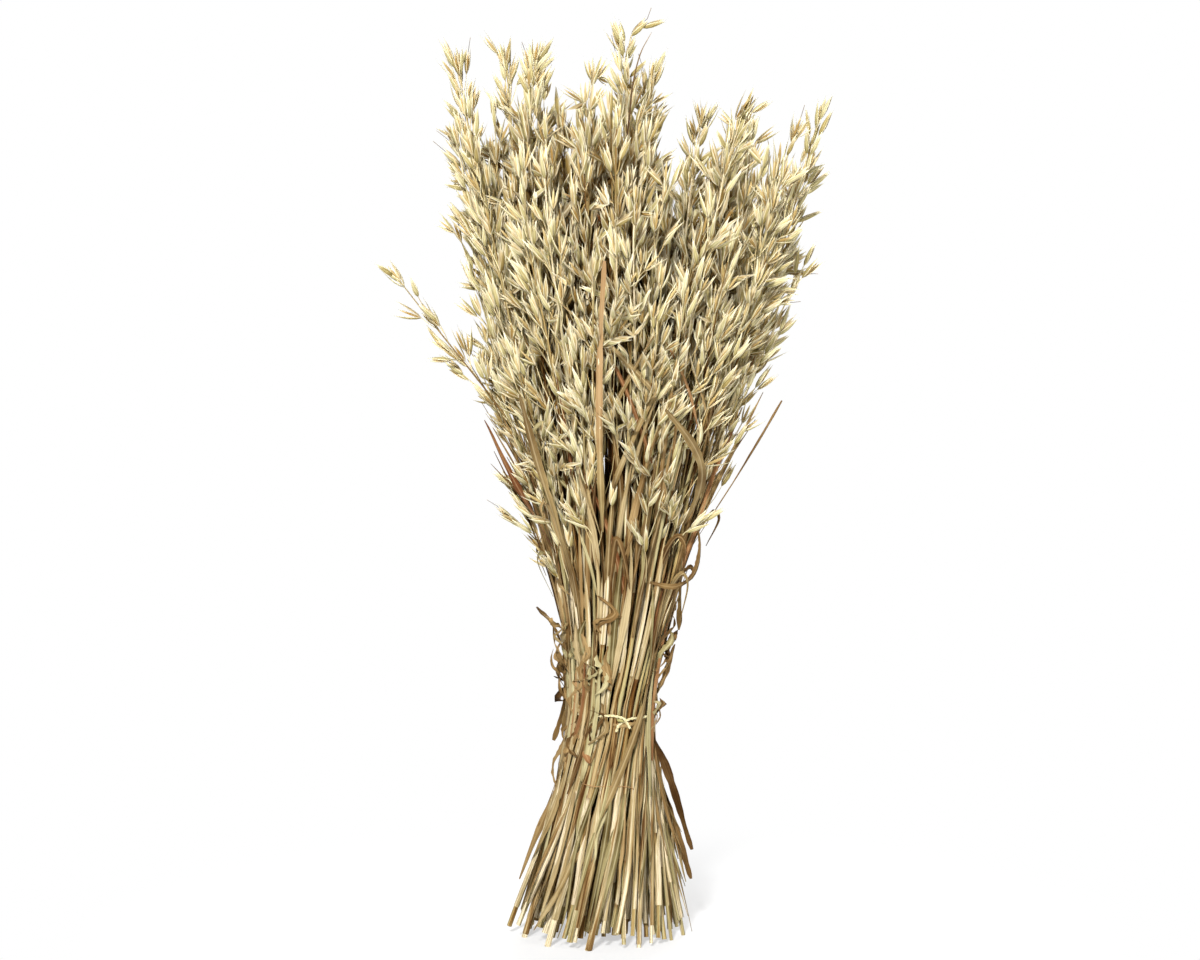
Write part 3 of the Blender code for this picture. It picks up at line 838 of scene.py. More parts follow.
def add_glumes(piece, spikelets, places, outer, inner, flip):
    """Adds one of the two glumes of each spikelet."""
    share = np.array(places)[:, None]
    angles = np.radians([*outer, *inner])
    is_inner = np.arange(len(angles)) >= len(outer)
    sizes = [spikelets[key] for key in ("length", "opening", "curl")]
    radius = spikelets["half"][:, None, None] * spindle(share, GLUME_SHAPE) / math.sin(GLUME_WRAP)
    face = np.where(is_inner, np.maximum(radius - GLUME_THICKNESS, 0.5 * radius), radius)
    across = face * np.sin(angles)
    back = face * np.cos(angles) - radius * math.cos(GLUME_WRAP)
    shares = np.broadcast_to(share, across.shape)
    rings = glume_points(across, back, shares, *(size[:, None, None] for size in sizes))
    zero = np.zeros(len(across))
    tips = glume_points(zero, zero, zero + 1, *sizes)
    frame_of = (spikelets["base"], flip * spikelets["side"], flip * spikelets["back"], spikelets["direction"])
    is_margin = np.abs(angles) > GLUME_WRAP - MARGIN_WIDTH
    # The inner faces' mark brings on their painted shade in the glume material.
    mark = np.where(is_inner, 1.0, np.where(is_margin, MARGIN_MARK, 0.0))
    tone = spikelets["tone"] + flip * GLUME_TONE_GAP
    rings, tips = place_local(rings, *frame_of), place_local(tips, *frame_of)
    piece.add(rings, spikelets["base"], tips, "glume", tone, mark)


def add_florets(piece, spikelets, sides):
    """Adds the floret inside each spikelet."""
    base, direction = spikelets["base"], spikelets["direction"]
    share = np.array(FLORET_PLACES)[:, None]
    angles = 2 * math.pi * np.arange(sides) / sides
    radius = FLORET_RADIUS * spindle(share, FLORET_SHAPE)
    length = FLORET_SHARE * spikelets["length"][:, None, None]
    foot = FLORET_START + FLORET_STEM
    local = np.broadcast_arrays(radius * np.cos(angles), radius * np.sin(angles), foot + share * length)
    rings = place_local(np.stack(local, axis=-1), base, spikelets["side"], spikelets["back"], direction)
    tips = base + direction * (foot + length[:, 0])
    piece.add(rings, base + direction * FLORET_START, tips, "floret", spikelets["tone"])


def add_awns(piece, spikelets, chance):
    """Adds a bent bristle from the floret of a few of the spikelets."""
    few = chance.random(len(spikelets["base"])) < AWN_SHARE
    chosen = (spikelets[key][few] for key in ("base", "direction", "side"))
    for base, direction, side in zip(*chosen):
        lower, upper, point = chance.uniform(*AWN_LENGTH) * np.array(AWN_PARTS)
        start = base + direction * AWN_START
        bent = unit(direction + side * chance.uniform(-AWN_BEND, AWN_BEND))
        elbow = start + direction * lower
        route = np.array([start, elbow, elbow + bent * upper])
        rings = round_rings(route, side, 3, AWN_RADIUS, AWN_RADIUS)
        add_one(piece, rings, start, route[-1] + bent * point, "awn", 0.5)


def exposure(points, top):
    """How open points are on a stalk of a given top: 1 or so at the rim and the crown, and less inside."""
    middle = axis_at(points[:, 2])
    rim = WAIST_RADIUS * spread_at(points[:, 2])
    outside = np.linalg.norm((points - middle)[:, :2], axis=1) / rim
    below = np.minimum(crown_height(points[:, 0]), top) - points[:, 2]
    return np.maximum(outside, TOP_EXPOSURE - below / HEAD_DEPTH)


def shade(seen):
    """How much browner and darker the parts inside the sheaf are painted than those at its outside: painted
    shade.
    """
    return PAINTED_SHADE_TONE * np.clip(PAINTED_SHADE_FROM - seen, 0, PAINTED_SHADE_DEPTH)


def chosen_from(spikelets, choice):
    """Some of the spikelets."""
    return {key: values[choice] for key, values in spikelets.items()}


def add_spikelets(piece, bases, directions, top, chance):
    """Adds a spikelet at each base, each of its own size, opening and tone, darker inside the sheaf by
    painted shade, finest where it can be seen.
    """
    count = len(bases)
    seen = exposure(bases, top)
    likely, narrowest, widest = np.array(OPENINGS).T
    kind = chance.choice(len(OPENINGS), count, p=likely)
    loose = unit(chance.normal(size=(count, 3)))
    side = unit(np.cross(directions, loose))
    spikelets = {
        "base": bases,
        "direction": directions,
        "side": side,
        "back": np.cross(directions, side),
        "length": chance.uniform(*GLUME_LENGTH, count),
        "half": chance.uniform(*GLUME_HALF_WIDTH, count),
        "opening": np.radians(chance.uniform(narrowest[kind], widest[kind])),
        "curl": chance.uniform(*GLUME_CURL, count),
        # A spikelet's tone falls with painted shade where it lies inside the sheaf.
        "tone": np.clip(chance.normal(*SPIKELET_TONE, count) - shade(seen), *SPIKELET_TONES),
    }
    # A spikelet's level is the number of details that it isn't open enough for.
    level = sum(seen <= detail[0] for detail in DETAILS)
    for i, (_, places, outer, inner, sides) in enumerate(DETAILS):
        if not (level == i).any():
            continue
        chosen = chosen_from(spikelets, level == i)
        add_glumes(piece, chosen, places, outer, inner, 1)
        add_glumes(piece, chosen, places, outer, inner, -1)
        add_florets(piece, chosen, sides)
    add_awns(piece, chosen_from(spikelets, level < PLAIN_LEVEL), chance)


# === Stalks: a culm with nodes, sheaths and a hollow cut foot, and a head of branches and spikelets. ===

# The whorls of a head: the place up the head, the branches, the spikelets on each, and the branches' length.
WHORLS = (
    (0.00, 3, 1, 0.036),
    (0.14, 3, 1, 0.032),
    (0.29, 3, 2, 0.026),
    (0.43, 4, 2, 0.022),
    (0.57, 3, 2, 0.019),
    (0.69, 2, 2, 0.017),
    (0.80, 2, 1, 0.014),
    (0.88, 1, 1, 0.012),
    (0.95, 1, 1, 0.009),
)
WHORL_SHIFT = (-0.04, 0.05)
# A leader has more branches in each whorl from this place up its head.
FULLER_FROM = 0.4
FULLER_BY = 2
# Each branch is turned on from the one before, in radians.
BRANCH_TURN = 2.4
BRANCH_TURN_SPREAD = 0.4
# The angles, in degrees, at which a branch leaves the stem and at which it ends.
BRANCH_LEAVES = (16, 32)
BRANCH_ENDS = (3, 18)
BRANCH_LENGTHS = (0.7, 1.25)
BRANCH_STEPS = 3
BRANCH_RADIUS = 0.00032
BRANCH_TAPER = (1.25, 0.8)
BRANCH_POINT = 0.0003
BRANCH_TONES = (0.4, 1.0)
SIDE_STEM = (0.003, 0.008)
SIDE_STEM_TONE = 0.7
# How much further out than its branch a spikelet leans: the mean and the spread, in degrees.
LEAN_OUT = (3, 11)
LEADER_LEAN = (12, 16)
NODDING_SHARE = 0.06
NODDING_LEAN = (20, 60)
SWERVE = 0.14
RACHIS_TIP = 0.020
RACHIS_POINT = 0.001
RACHIS_RADIUS = (0.0010, 0.0004)
HEAD_RINGS = 9
STEM_STEP = 0.004
# The culm's slight bends: how far they go, their wave lengths, and how far from the tie they are full.
BEND = 0.0022
BEND_WAVES = (0.12, 0.30)
BEND_RUN = 0.12
HEAD_SWAY = 0.005
SWAY_EASE = 2.5
LEADER_SWAYS = {(1, 4): (-0.010, -0.002), (7, 16): (0.006, 0.0), (7, 38): (-0.004, 0.0)}
# How far the tip of a leader hooks over to the right, or to the left where that is negative.
LEADER_HOOKS = {
    (1, 4): 0.025, (3, 15): 0.010, (5, 12): -0.010, (5, 15): 0.006, (5, 18): 0.012, (5, 24): 0.012,
    (7, 16): -0.012, (7, 34): 0.010,
}
HOOKED_SHARE = 0.80
FOOT_SPLAY = 0.0036
FOOT_SPLAY_MODELLED = 0.0018
SPLAY_EASE = 1.3
CULM_SIDES = 7
CULM_RINGS = 15
# A culm's radius at the waist, what is added to it down to the foot, and the share lost up to the neck.
WAIST_CULM = 0.0016
FOOT_CULM_GAIN = 0.0006
NECK_CULM_LOSS = 0.30
GIRTH = (0.66, 1.12)
FLATNESS = (1.0, 1.7)
CULM_TURN = 0.6
# Each node is a slight swelling, with a ring below it, at it and above it.
NODE_RINGS = (-0.004, 0, 0.003)
NODE_REACH = 0.0045
NODE_SWELL = 0.2
NODE_HEIGHTS = ((0.03, 0.13), (0.19, 0.27), (0.31, 0.40))
NODE_BELOW_HEAD = 0.02
# The hollow of the cut foot: its depth, its share of the culm's radius, and the marks of its bore and rim.
BORE_DEPTH = 0.006
BORE_SHARE = 0.66
CUT_MARKS = (1.0, -0.6)
# The range of tones of the culms inside the sheaf, of those just inside its rim, and of those that are seen:
# the inner ones are painted darker and browner as painted shade.
INNER_PAINTED_SHADE_TONES = (-0.2, 0.12)
NEXT_PAINTED_SHADE_TONES = (-0.12, 0.6)
SEEN_TONES = (-0.02, 0.80)


def draws(chance, *spans):
    """A number drawn from each range."""
    return [chance.uniform(*span) for span in spans]


class Growth:
    """One stalk as it grew: the slight bends of its culm, its girth, and its own run of chance."""

    def __init__(self, stalk):
        self.stalk = stalk
        place = (stalk.ring, stalk.place)
        self.chance = np.random.default_rng(STALK_SEED * stalk.ring + stalk.place)
        full_turn = (0, 2 * math.pi)
        self.waves = [draws(self.chance, BEND_WAVES, full_turn, full_turn) for _ in range(2)]
        self.sway = self.chance.uniform(-1, 1, 2) * HEAD_SWAY
        if stalk.is_leader:
            self.sway = np.array(LEADER_SWAYS.get(place, (0.0, 0.0)))
        self.hook = LEADER_HOOKS.get(place, 0.0)
        splay = FOOT_SPLAY_MODELLED if solid_name(stalk) else FOOT_SPLAY
        self.splay = self.chance.normal(0, splay, 2)
        # Culms inside the sheaf take darker tones: painted shade.
        tones = {RING_COUNT: SEEN_TONES, RING_COUNT - 1: NEXT_PAINTED_SHADE_TONES}.get(stalk.ring, INNER_PAINTED_SHADE_TONES)
        if stalk.is_leader:
            tones = SEEN_TONES
        self.girth, self.flatness, self.tone = draws(self.chance, GIRTH, FLATNESS, tones)

    def line(self, heights):
        """The stalk's middle line at each height, with its bends, which die away where it is tied."""
        heights = np.asarray(heights, float)
        points = self.stalk.centre(heights)
        loose = np.minimum(1, np.abs(heights - WAIST_HEIGHT) / BEND_RUN)
        for wave, phase, way in self.waves:
            amount = BEND * loose * np.sin(2 * math.pi * heights / wave + phase)
            points[..., 0] += math.cos(way) * amount
            points[..., 1] += math.sin(way) * amount
        share = self.stalk.head_share(heights)
        points[..., :2] += self.sway * (share**SWAY_EASE)[..., None]
        points[..., 0] += self.hook * (np.maximum(0, share - HOOKED_SHARE) / (1 - HOOKED_SHARE)) ** 2
        points[..., :2] += self.splay * (below_waist(heights) ** SPLAY_EASE)[..., None]
        return points

    def rachis_radius(self, heights):
        """The radius in the head, from its neck to its tip."""
        neck, tip = RACHIS_RADIUS
        return neck - (neck - tip) * self.stalk.head_share(heights)

    def culm_radius(self, heights):
        """The radius of the culm below the head: stoutest at the foot."""
        above = np.maximum(0, heights - WAIST_HEIGHT) / (self.stalk.head_low - WAIST_HEIGHT)
        stout = self.girth * (WAIST_CULM + FOOT_CULM_GAIN * below_waist(heights))
        return stout * (1 - NECK_CULM_LOSS * np.minimum(1, above))


def below_waist(heights):
    """The share of the way from the waist down to the floor at each height, and 0 above the waist."""
    return np.maximum(0, WAIST_HEIGHT - heights) / WAIST_HEIGHT


def culm_rows(growth, nodes):
    """The heights of a culm's rings, its radius at each, and how much of a node each is."""
    stalk = growth.stalk
    even = np.linspace(stalk.foot, stalk.head_low, CULM_RINGS)
    around_nodes = [node + step for node in nodes for step in NODE_RINGS]
    heights = np.unique(np.concatenate([even, around_nodes]))
    heights = heights[(heights >= stalk.foot) & (heights < stalk.head_low)]
    node = sum(np.maximum(0, 1 - np.abs(heights - at) / NODE_REACH) for at in nodes)
    return heights, growth.culm_radius(heights) * (1 + NODE_SWELL * node), node


def add_culm(piece, growth, nodes):
    """Adds a culm from its hollow cut foot to its neck, and on as the head's middle branch."""
    stalk, chance = growth.stalk, growth.chance
    heights, radius, node = culm_rows(growth, nodes)
    head = np.linspace(stalk.head_low, stalk.top - RACHIS_TIP, HEAD_RINGS)
    radius = np.concatenate([radius, growth.rachis_radius(head)])
    mark = np.concatenate([CUT_MARKS, node, np.zeros(len(head))])
    route = growth.line(np.concatenate([heights, head]))
    narrow = radius / growth.flatness**0.5
    wide = radius * growth.flatness**0.5
    turn = chance.uniform(-CULM_TURN, CULM_TURN)
    rings = round_rings(route, stalk.outward(), CULM_SIDES, wide, narrow, turn)
    middle = route[0]
    rim = middle + (rings[0] - middle) * BORE_SHARE
    bore = rim + (growth.line(stalk.foot + BORE_DEPTH) - middle)
    rings = np.concatenate([[bore, rim], rings])
    rings[..., 2] = np.maximum(rings[..., 2], 0.0)
    tip = growth.line(stalk.top - RACHIS_TIP + RACHIS_POINT)
    add_one(piece, rings, bore.mean(axis=0), tip, "culm", growth.tone, mark[:, None], rows_per_cell=5)


def branch_route(start, along, outward, length, first, last):
    """A branch's route: it leaves at one angle from the stem, and bends to another."""
    points = [start]
    for angle in np.linspace(first, last, BRANCH_STEPS):
        step = along * math.cos(angle) + outward * math.sin(angle)
        points.append(points[-1] + step * length / BRANCH_STEPS)
    return np.array(points)


def add_branch(piece, route, tone, reference):
    """Adds a thin branch along its route."""
    radius = np.linspace(*BRANCH_TAPER, len(route)) * BRANCH_RADIUS
    rings = round_rings(route, reference, 3, radius, radius)
    tip = route[-1] + unit(route[-1] - route[-2]) * BRANCH_POINT
    add_one(piece, rings, route[0], tip, "branch", tone)


def spikelet_lean(chance, is_leader):
    """How much further out than its branch a spikelet leans. A few nod far out."""
    lean = math.radians(chance.normal(*(LEADER_LEAN if is_leader else LEAN_OUT)))
    if chance.random() < NODDING_SHARE:
        lean += math.radians(chance.uniform(*NODDING_LEAN))
    return lean


def add_head(piece, growth):
    """Adds a head: whorls of branches with spikelets at their ends and sides, and a spikelet at its tip."""
    stalk, chance = growth.stalk, growth.chance
    bases, directions = [], []
    length = stalk.top - RACHIS_TIP - stalk.head_low
    turn = chance.uniform(0, 2 * math.pi)
    for up, branches, spikelets, reach in WHORLS:
        more = FULLER_BY if stalk.is_leader and up > FULLER_FROM else 0
        for _ in range(branches + more):
            height = stalk.head_low + length * (up + chance.uniform(*WHORL_SHIFT))
            start, above = growth.line([height, height + STEM_STEP])
            along = unit(above - start)
            turn += BRANCH_TURN + chance.uniform(-BRANCH_TURN_SPREAD, BRANCH_TURN_SPREAD)
            flat = np.array([math.cos(turn), math.sin(turn), 0])
            outward = unit(flat - along * (flat @ along))
            aside = np.cross(along, outward)
            first, last = np.radians(draws(chance, BRANCH_LEAVES, BRANCH_ENDS))
            route = branch_route(start, along, outward, reach * chance.uniform(*BRANCH_LENGTHS), first, last)
            # Branches inside the sheaf get painted shade: a lower, browner tone.
            branch_painted_shade = shade(exposure(start[None], stalk.top)[0])
            add_branch(piece, route, chance.uniform(*BRANCH_TONES) - branch_painted_shade, aside)
            for i in range(spikelets):
                base = route[-1] if i == 0 else route[1] + (route[2] - route[1]) * chance.random()
                lean = (last if i == 0 else first) + spikelet_lean(chance, stalk.is_leader)
                swerve = aside * chance.normal(0, SWERVE)
                direction = unit(along * math.cos(lean) + outward * math.sin(lean) + swerve)
                if i > 0:
                    foot = base
                    base = base + direction * chance.uniform(*SIDE_STEM)
                    stem = np.array([foot, base])
                    add_branch(piece, stem, SIDE_STEM_TONE - branch_painted_shade, np.cross(direction, along))
                bases.append(base)
                directions.append(direction)
    tip, above = growth.line([stalk.top - RACHIS_TIP, stalk.top])
    bases.append(tip)
    directions.append(unit(above - tip))
    add_spikelets(piece, np.array(bases), np.array(directions), stalk.top, chance)


# The leaf sheaths and blades still on the stalks: how likely each is, by ring.
SHEATH_CHANCE = {4: 0.4, 5: 0.7, 6: 0.9, 7: 1.0}
UPPER_BLADE_CHANCE = {5: 0.3, 6: 0.5, 7: 0.8}
LOWER_BLADE_CHANCE = {6: 0.3, 7: 0.4}
# How far a sheath wraps its culm to each side in degrees, and the share of that lost towards its end.
SHEATH_WRAP = (95, 150)
SHEATH_UNWRAP = 0.7
SHEATH_TAPER = (1.0, 0.0, 0.06, 3.0, 0.7)
SHEATH_LENGTH = (0.055, 0.120)
SHEATH_START = (0.0, 0.03)
SHEATH_GAP = 0.00035
SHEATH_OPENS = (0.05, 0.6)
SHEATH_LIFTS = (0.0, 0.003)
SHEATH_TURN = 1.2
SHEATH_POINT = (0.002, 0.008)
SHEATH_RINGS = 9
# The blades above the tie and below it: the heights of their ends, and their half widths and lifts.
UPPER_BLADE_START = (0.19, 0.30)
UPPER_BLADE_LENGTH = (0.08, 0.17)
UPPER_BLADE_PAST_NECK = 0.06
UPPER_BLADE_LOOK = ((0.0014, 0.0034), (0.001, 0.010))
LOWER_BLADE_END = (0.0, 0.06)
LOWER_BLADE_START = (0.11, 0.155)
LOWER_BLADE_LOOK = ((0.0012, 0.0030), (0.0, 0.007))
BLADE_RINGS = 13
BLADE_GAP = 0.0003
BLADE_TAPER = (0.55, 2.0, 0.12, 2.2, 0.7)
BLADE_DRIFT = 0.012
BLADE_SNAKE = 0.0015
BLADE_RIPPLE = 0.14
BLADE_TWIST = 1.3
BLADE_FLUTTER = 0.35
# The mark of the middle rib, among the points of a blade's section.
BLADE_MARK = np.array([0, 0, 1.0, 0, 0, 0, 0, 0])
BLADE_COLOURS = ("tan",) * 4 + ("olive",) * 3 + ("rust",) + ("brown",) * 3


def turned(direction, angle):
    """A level direction turned round the vertical."""
    x, y, _ = direction
    cos, sin = math.cos(angle), math.sin(angle)
    return np.array([x * cos - y * sin, x * sin + y * cos, 0.0])


def tapered(share, first, opens, last, closes, power):
    """The share of its full width that a strip has along it, from a first one, and down to a last one."""
    return np.minimum(1, first + opens * share) * np.minimum(1, last + closes * (1 - share)) ** power


def add_sheath(piece, growth, low):
    """Adds a sheath that wraps the culm up from a node, opens along one side and ends in a torn point."""
    stalk, chance = growth.stalk, growth.chance
    high = min(low + chance.uniform(*SHEATH_LENGTH), stalk.head_low)
    share = np.linspace(0, 1, SHEATH_RINGS)
    heights = low + (high - low) * share
    face = turned(stalk.outward(), chance.uniform(-SHEATH_TURN, SHEATH_TURN))
    wrap = math.radians(chance.uniform(*SHEATH_WRAP)) * (1 - SHEATH_UNWRAP * share**3)
    opened = 1 + chance.uniform(*SHEATH_OPENS) * share**2
    radius = (growth.culm_radius(heights) * growth.flatness**0.3 + SHEATH_GAP) * opened
    lift = chance.uniform(*SHEATH_LIFTS) * share**3
    route = growth.line(heights) + face * (radius + lift)[:, None]
    widths = radius * wrap * tapered(share, *SHEATH_TAPER)
    rings = blade_rings(route, face, widths, wrap, 0.0)
    tip = route[-1] + [0, 0, chance.uniform(*SHEATH_POINT)]
    add_one(piece, rings, route[0], tip, "sheath", chance.random(), rows_per_cell=4)


def add_blade(piece, growth, start, end, half_widths, lifts):
    """Adds a blade that leaves the culm at one height and runs on along it to another, lifting as it goes."""
    stalk, chance = growth.stalk, growth.chance
    half_width, lift = draws(chance, half_widths, lifts)
    share = np.linspace(0, 1, BLADE_RINGS)
    heights = start + (end - start) * share
    outward = stalk.outward()
    sideways = np.cross([0, 0, 1], outward)
    away = growth.culm_radius(heights) + BLADE_GAP + lift * share**1.5
    drift = chance.uniform(-BLADE_DRIFT, BLADE_DRIFT) * share**1.3
    drift += BLADE_SNAKE * np.sin(share * chance.uniform(3, 8))
    route = growth.line(heights) + outward * away[:, None] + sideways * drift[:, None]
    widths = half_width * tapered(share, *BLADE_TAPER)
    widths *= 1 + BLADE_RIPPLE * np.sin(share * chance.uniform(10, 20))
    twist = chance.uniform(-BLADE_TWIST, BLADE_TWIST) * share**1.5
    twist += BLADE_FLUTTER * np.sin(share * chance.uniform(4, 9))
    roll = chance.uniform(0.3, 1.2) + 0.5 * share
    rings = blade_rings(route, outward, widths, roll, twist)
    finish = str(chance.choice(BLADE_COLOURS))
    add_one(piece, rings, route[0], route[-1], finish, chance.random(), BLADE_MARK, rows_per_cell=6)


def add_leaves(piece, growth, nodes):
    """Adds a stalk's sheaths, and the dry blades that still hang on it: one above the tie, one below it."""
    stalk, chance = growth.stalk, growth.chance
    for low in (stalk.foot + chance.uniform(*SHEATH_START), *nodes):
        if chance.random() < SHEATH_CHANCE.get(stalk.ring, 0):
            add_sheath(piece, growth, low)
    if chance.random() < UPPER_BLADE_CHANCE.get(stalk.ring, 0):
        start = chance.uniform(*UPPER_BLADE_START)
        end = min(start + chance.uniform(*UPPER_BLADE_LENGTH), stalk.head_low + UPPER_BLADE_PAST_NECK)
        add_blade(piece, growth, start, end, *UPPER_BLADE_LOOK)
    if chance.random() < LOWER_BLADE_CHANCE.get(stalk.ring, 0):
        end = stalk.foot + chance.uniform(*LOWER_BLADE_END)
        add_blade(piece, growth, chance.uniform(*LOWER_BLADE_START), end, *LOWER_BLADE_LOOK)


def grow_stalk(piece, stalk):
    """Adds a whole stalk to a piece."""
    growth = Growth(stalk)
    nodes = np.array(draws(growth.chance, *NODE_HEIGHTS))
    nodes = nodes[nodes < stalk.head_low - NODE_BELOW_HEAD]
    add_culm(piece, growth, nodes)
    add_head(piece, growth)
    add_leaves(piece, growth, nodes)


STALKS_PER_GROUP = 11


def make_stalks():
    """Each modelled stalk in place of its solid, and the others in groups of neighbours in the same ring."""
    others = {}
    for stalk in planned_stalks():
        name = solid_name(stalk)
        if name:
            piece = Piece()
            grow_stalk(piece, stalk)
            piece.make("oat_" + name, "oat_straw", [name])
        else:
            others.setdefault(stalk.ring, []).append(stalk)
    for ring, stalks in others.items():
        groups = max(1, round(len(stalks) / STALKS_PER_GROUP))
        for i, members in enumerate(np.array_split(np.arange(len(stalks)), groups)):
            piece = Piece()
            for member in members:
                grow_stalk(piece, stalks[member])
            piece.make(f"ring_{ring}_stalks_{i + 1}", "oat_straw")


# === Leaves: the modelled ones, and loose strips and scraps of leaf over the sheaf. ===

LEAF_STEPS = 9
LEAF_SLOTS = {"tan": "tan_leaf", "rust": "rust_leaf", "brown": "brown_leaf"}
LEAF_TONES = (0.0, 0.6)
LEAF_END_WIDTH = 0.36
LEAF_RIPPLE = 0.12
LEAF_RAGGED = 0.15
LEAF_FLUTTER = 0.45
# How far some of the leaves turn their face round their own line, in degrees.
LEAF_TURNS = {
    "hanging_right_leaf": -85, "low_right_leaf": -80, "right_scrap_leaf": -50, "left_scrap_leaf": 60,
    "left_waist_leaf": 55, "cut_right_leaf": -30, "dark_right_leaf": -40,
}
# Leaves that have a finish of their own in place of their colour's.
LEAF_FINISHES = {"tall_front_leaf": "blushed"}


def level_outward(route):
    """The level directions from the sheaf's middle to the points of a route."""
    outward = route - axis_at(route[:, 2])
    outward[:, 2] = 0
    return unit(outward)


def make_leaf(index, name, width, color, waypoints):
    """A dry leaf in place of its solid: a thin blade that rolls, twists and narrows to torn ends."""
    chance = np.random.default_rng(LEAF_SEED + index)
    route = route_through(waypoints, LEAF_STEPS)
    share = np.linspace(0, 1, len(route))
    widths = width / 2 * (LEAF_END_WIDTH + (1 - LEAF_END_WIDTH) * np.sin(math.pi * share) ** 0.5)
    ripple = LEAF_RIPPLE * np.sin(share * 17 + chance.uniform(0, 6))
    widths *= 1 + ripple + chance.uniform(-LEAF_RAGGED, LEAF_RAGGED, len(share))
    twist = math.radians(LEAF_TURNS.get(name, 0)) * np.minimum(1, 3 * share)
    twist += LEAF_FLUTTER * np.sin(share * chance.uniform(4, 8) + chance.uniform(0, 6))
    roll = 0.5 + 0.4 * np.sin(share * 5 + chance.uniform(0, 6))
    rings = blade_rings(route, level_outward(route), widths, roll, twist)
    piece = Piece()
    finish = LEAF_FINISHES.get(name, color)
    tone = chance.uniform(*LEAF_TONES)
    add_one(piece, rings, route[0], route[-1], finish, tone, BLADE_MARK, rows_per_cell=4)
    piece.make("dry_" + name, LEAF_SLOTS[color], [name])


STRIP_STEPS = 5
STRIP_TAPER = (0.35, 3.0, 0.1, 2.4, 0.8)
SCRAP_COLOURS = ("brown",) * 3 + ("tan", "olive")
# For each kind of strip: its colours and range of widths, how far it may curl along its length and turn away
# from the outside, in radians, how far it ripples, and how ragged its edge is.
STRIP_LOOKS = {
    "lying": (BLADE_COLOURS, (0.0018, 0.0060), 1.2, 0.0, 0.3, 0.12),
    "crossing": (BLADE_COLOURS, (0.0040, 0.0068), 0.5, 0.0, 0.2, 0.12),
    "folded": (BLADE_COLOURS, (0.0035, 0.0065), 0.8, 0.0, 0.3, 0.12),
    "standing": (SCRAP_COLOURS, (0.0014, 0.0042), 1.0, 1.4, 0.4, 0.12),
    "scrap": (SCRAP_COLOURS, (0.0030, 0.0078), 1.3, 1.5, 0.5, 0.40),
}
# Strips lie along the stems: how many, the heights that they start at, whether they run up or down, and how
# far they may slant away from the stems, in degrees round the sheaf.
LYING_STRIPS = (
    ("upper_leaf_strips", 50, (0.195, 0.36), 1, 8),
    ("slanting_leaf_strips", 54, (0.19, 0.40), 1, 34),
    ("lower_leaf_strips", 30, (0.060, 0.150), -1, 10),
)
LYING_LENGTH = (0.05, 0.13)
LYING_LIFTS = (0.001, 0.009)
LOWEST_END = 0.012
# Strips cross over the twine where it is hidden: how many, between which bearings, and their slant.
CROSSING_STRIPS = ((15, -182, -108, 13), (2, -42, -20, 6), (7, 30, 165, 10))
CROSSING_SPREAD = 8
CROSSING_FEET = (0.105, 0.150)
CROSSING_TOPS = (0.195, 0.245)
# One strip lies level under the twine.
TIE_BAND = ((-88, 0.1665, 0.0006), (-68, 0.1655, 0.0014), (-46, 0.1680, 0.0008))
# Bent strips rise, fold over and hang down again: how many, between which bearings, and where they start.
FOLDED_STRIPS = ((6, -125, -15, (0.22, 0.35)), (4, -175, -125, (0.25, 0.36)), (7, 0, 180, (0.22, 0.36)))
FOLD_RISES = (0.020, 0.065)
FOLD_FALLS = (0.008, 0.040)
FOLD_TURNS = (2, 9)
FOLD_REACHES = (0.006, 0.014)
# Thin strips stand off the sides, and one row of them hangs down at the foot: how many, between which
# bearings, the heights that they start and end at, and how far out they end.
STANDING_STRIPS = (
    (15, -196, -162, (0.23, 0.33), (0.35, 0.45), (0.014, 0.034)),
    (3, -14, 10, (0.26, 0.33), (0.37, 0.43), (0.010, 0.022)),
    (4, 60, 130, (0.24, 0.33), (0.37, 0.45), (0.012, 0.028)),
    (7, -24, 20, (0.120, 0.158), (0.045, 0.085), (0.006, 0.015)),
)
STANDING_SLANT = 4
# One dark blade stands among the heads, and bends over at its tip.
CROWN_BLADE = (
    (-101, 0.585, -0.072), (-98, 0.618, -0.078), (-96, 0.645, -0.082), (-91, 0.668, -0.084),
    (-83, 0.684, -0.084),
)
# Curled scraps cling round the waist: how many, between which bearings and heights, and how far they reach.
SCRAPS = (
    (24, (150, 220), (0.150, 0.290), (0.002, 0.013)),
    (34, (-168, -108), (0.130, 0.250), (0.0005, 0.004)),
    (12, (-34, 16), (0.160, 0.235), (0.002, 0.009)),
    (14, (60, 120), (0.150, 0.240), (0.002, 0.007)),
    (10, (-130, -95), (0.150, 0.235), (0.001, 0.005)),
)
SCRAP_LENGTH = (0.014, 0.040)


def add_strip(piece, chance, waypoints, width, finish, curl, turn=0.0, ripple=0.1, ragged=0.12):
    """Adds a strip of leaf along a route over the sheaf, with a pointed end, and a curl along its length.

    Its face is turned from the outside by an angle in radians all along.
    """
    route = route_through(waypoints, STRIP_STEPS)
    share = np.linspace(0, 1, len(route))
    widths = width / 2 * tapered(share, *STRIP_TAPER)
    widths *= chance.uniform(1 - ragged, 1 + ragged, len(share))
    twist = turn + curl * share + ripple * np.sin(share * chance.uniform(3, 9) + chance.uniform(0, 6))
    roll = chance.uniform(0.3, 1.3) + 0.4 * share
    rings = blade_rings(route, level_outward(route), widths, roll, twist)
    add_one(piece, rings, route[0], route[-1], finish, chance.random(), BLADE_MARK, rows_per_cell=6)


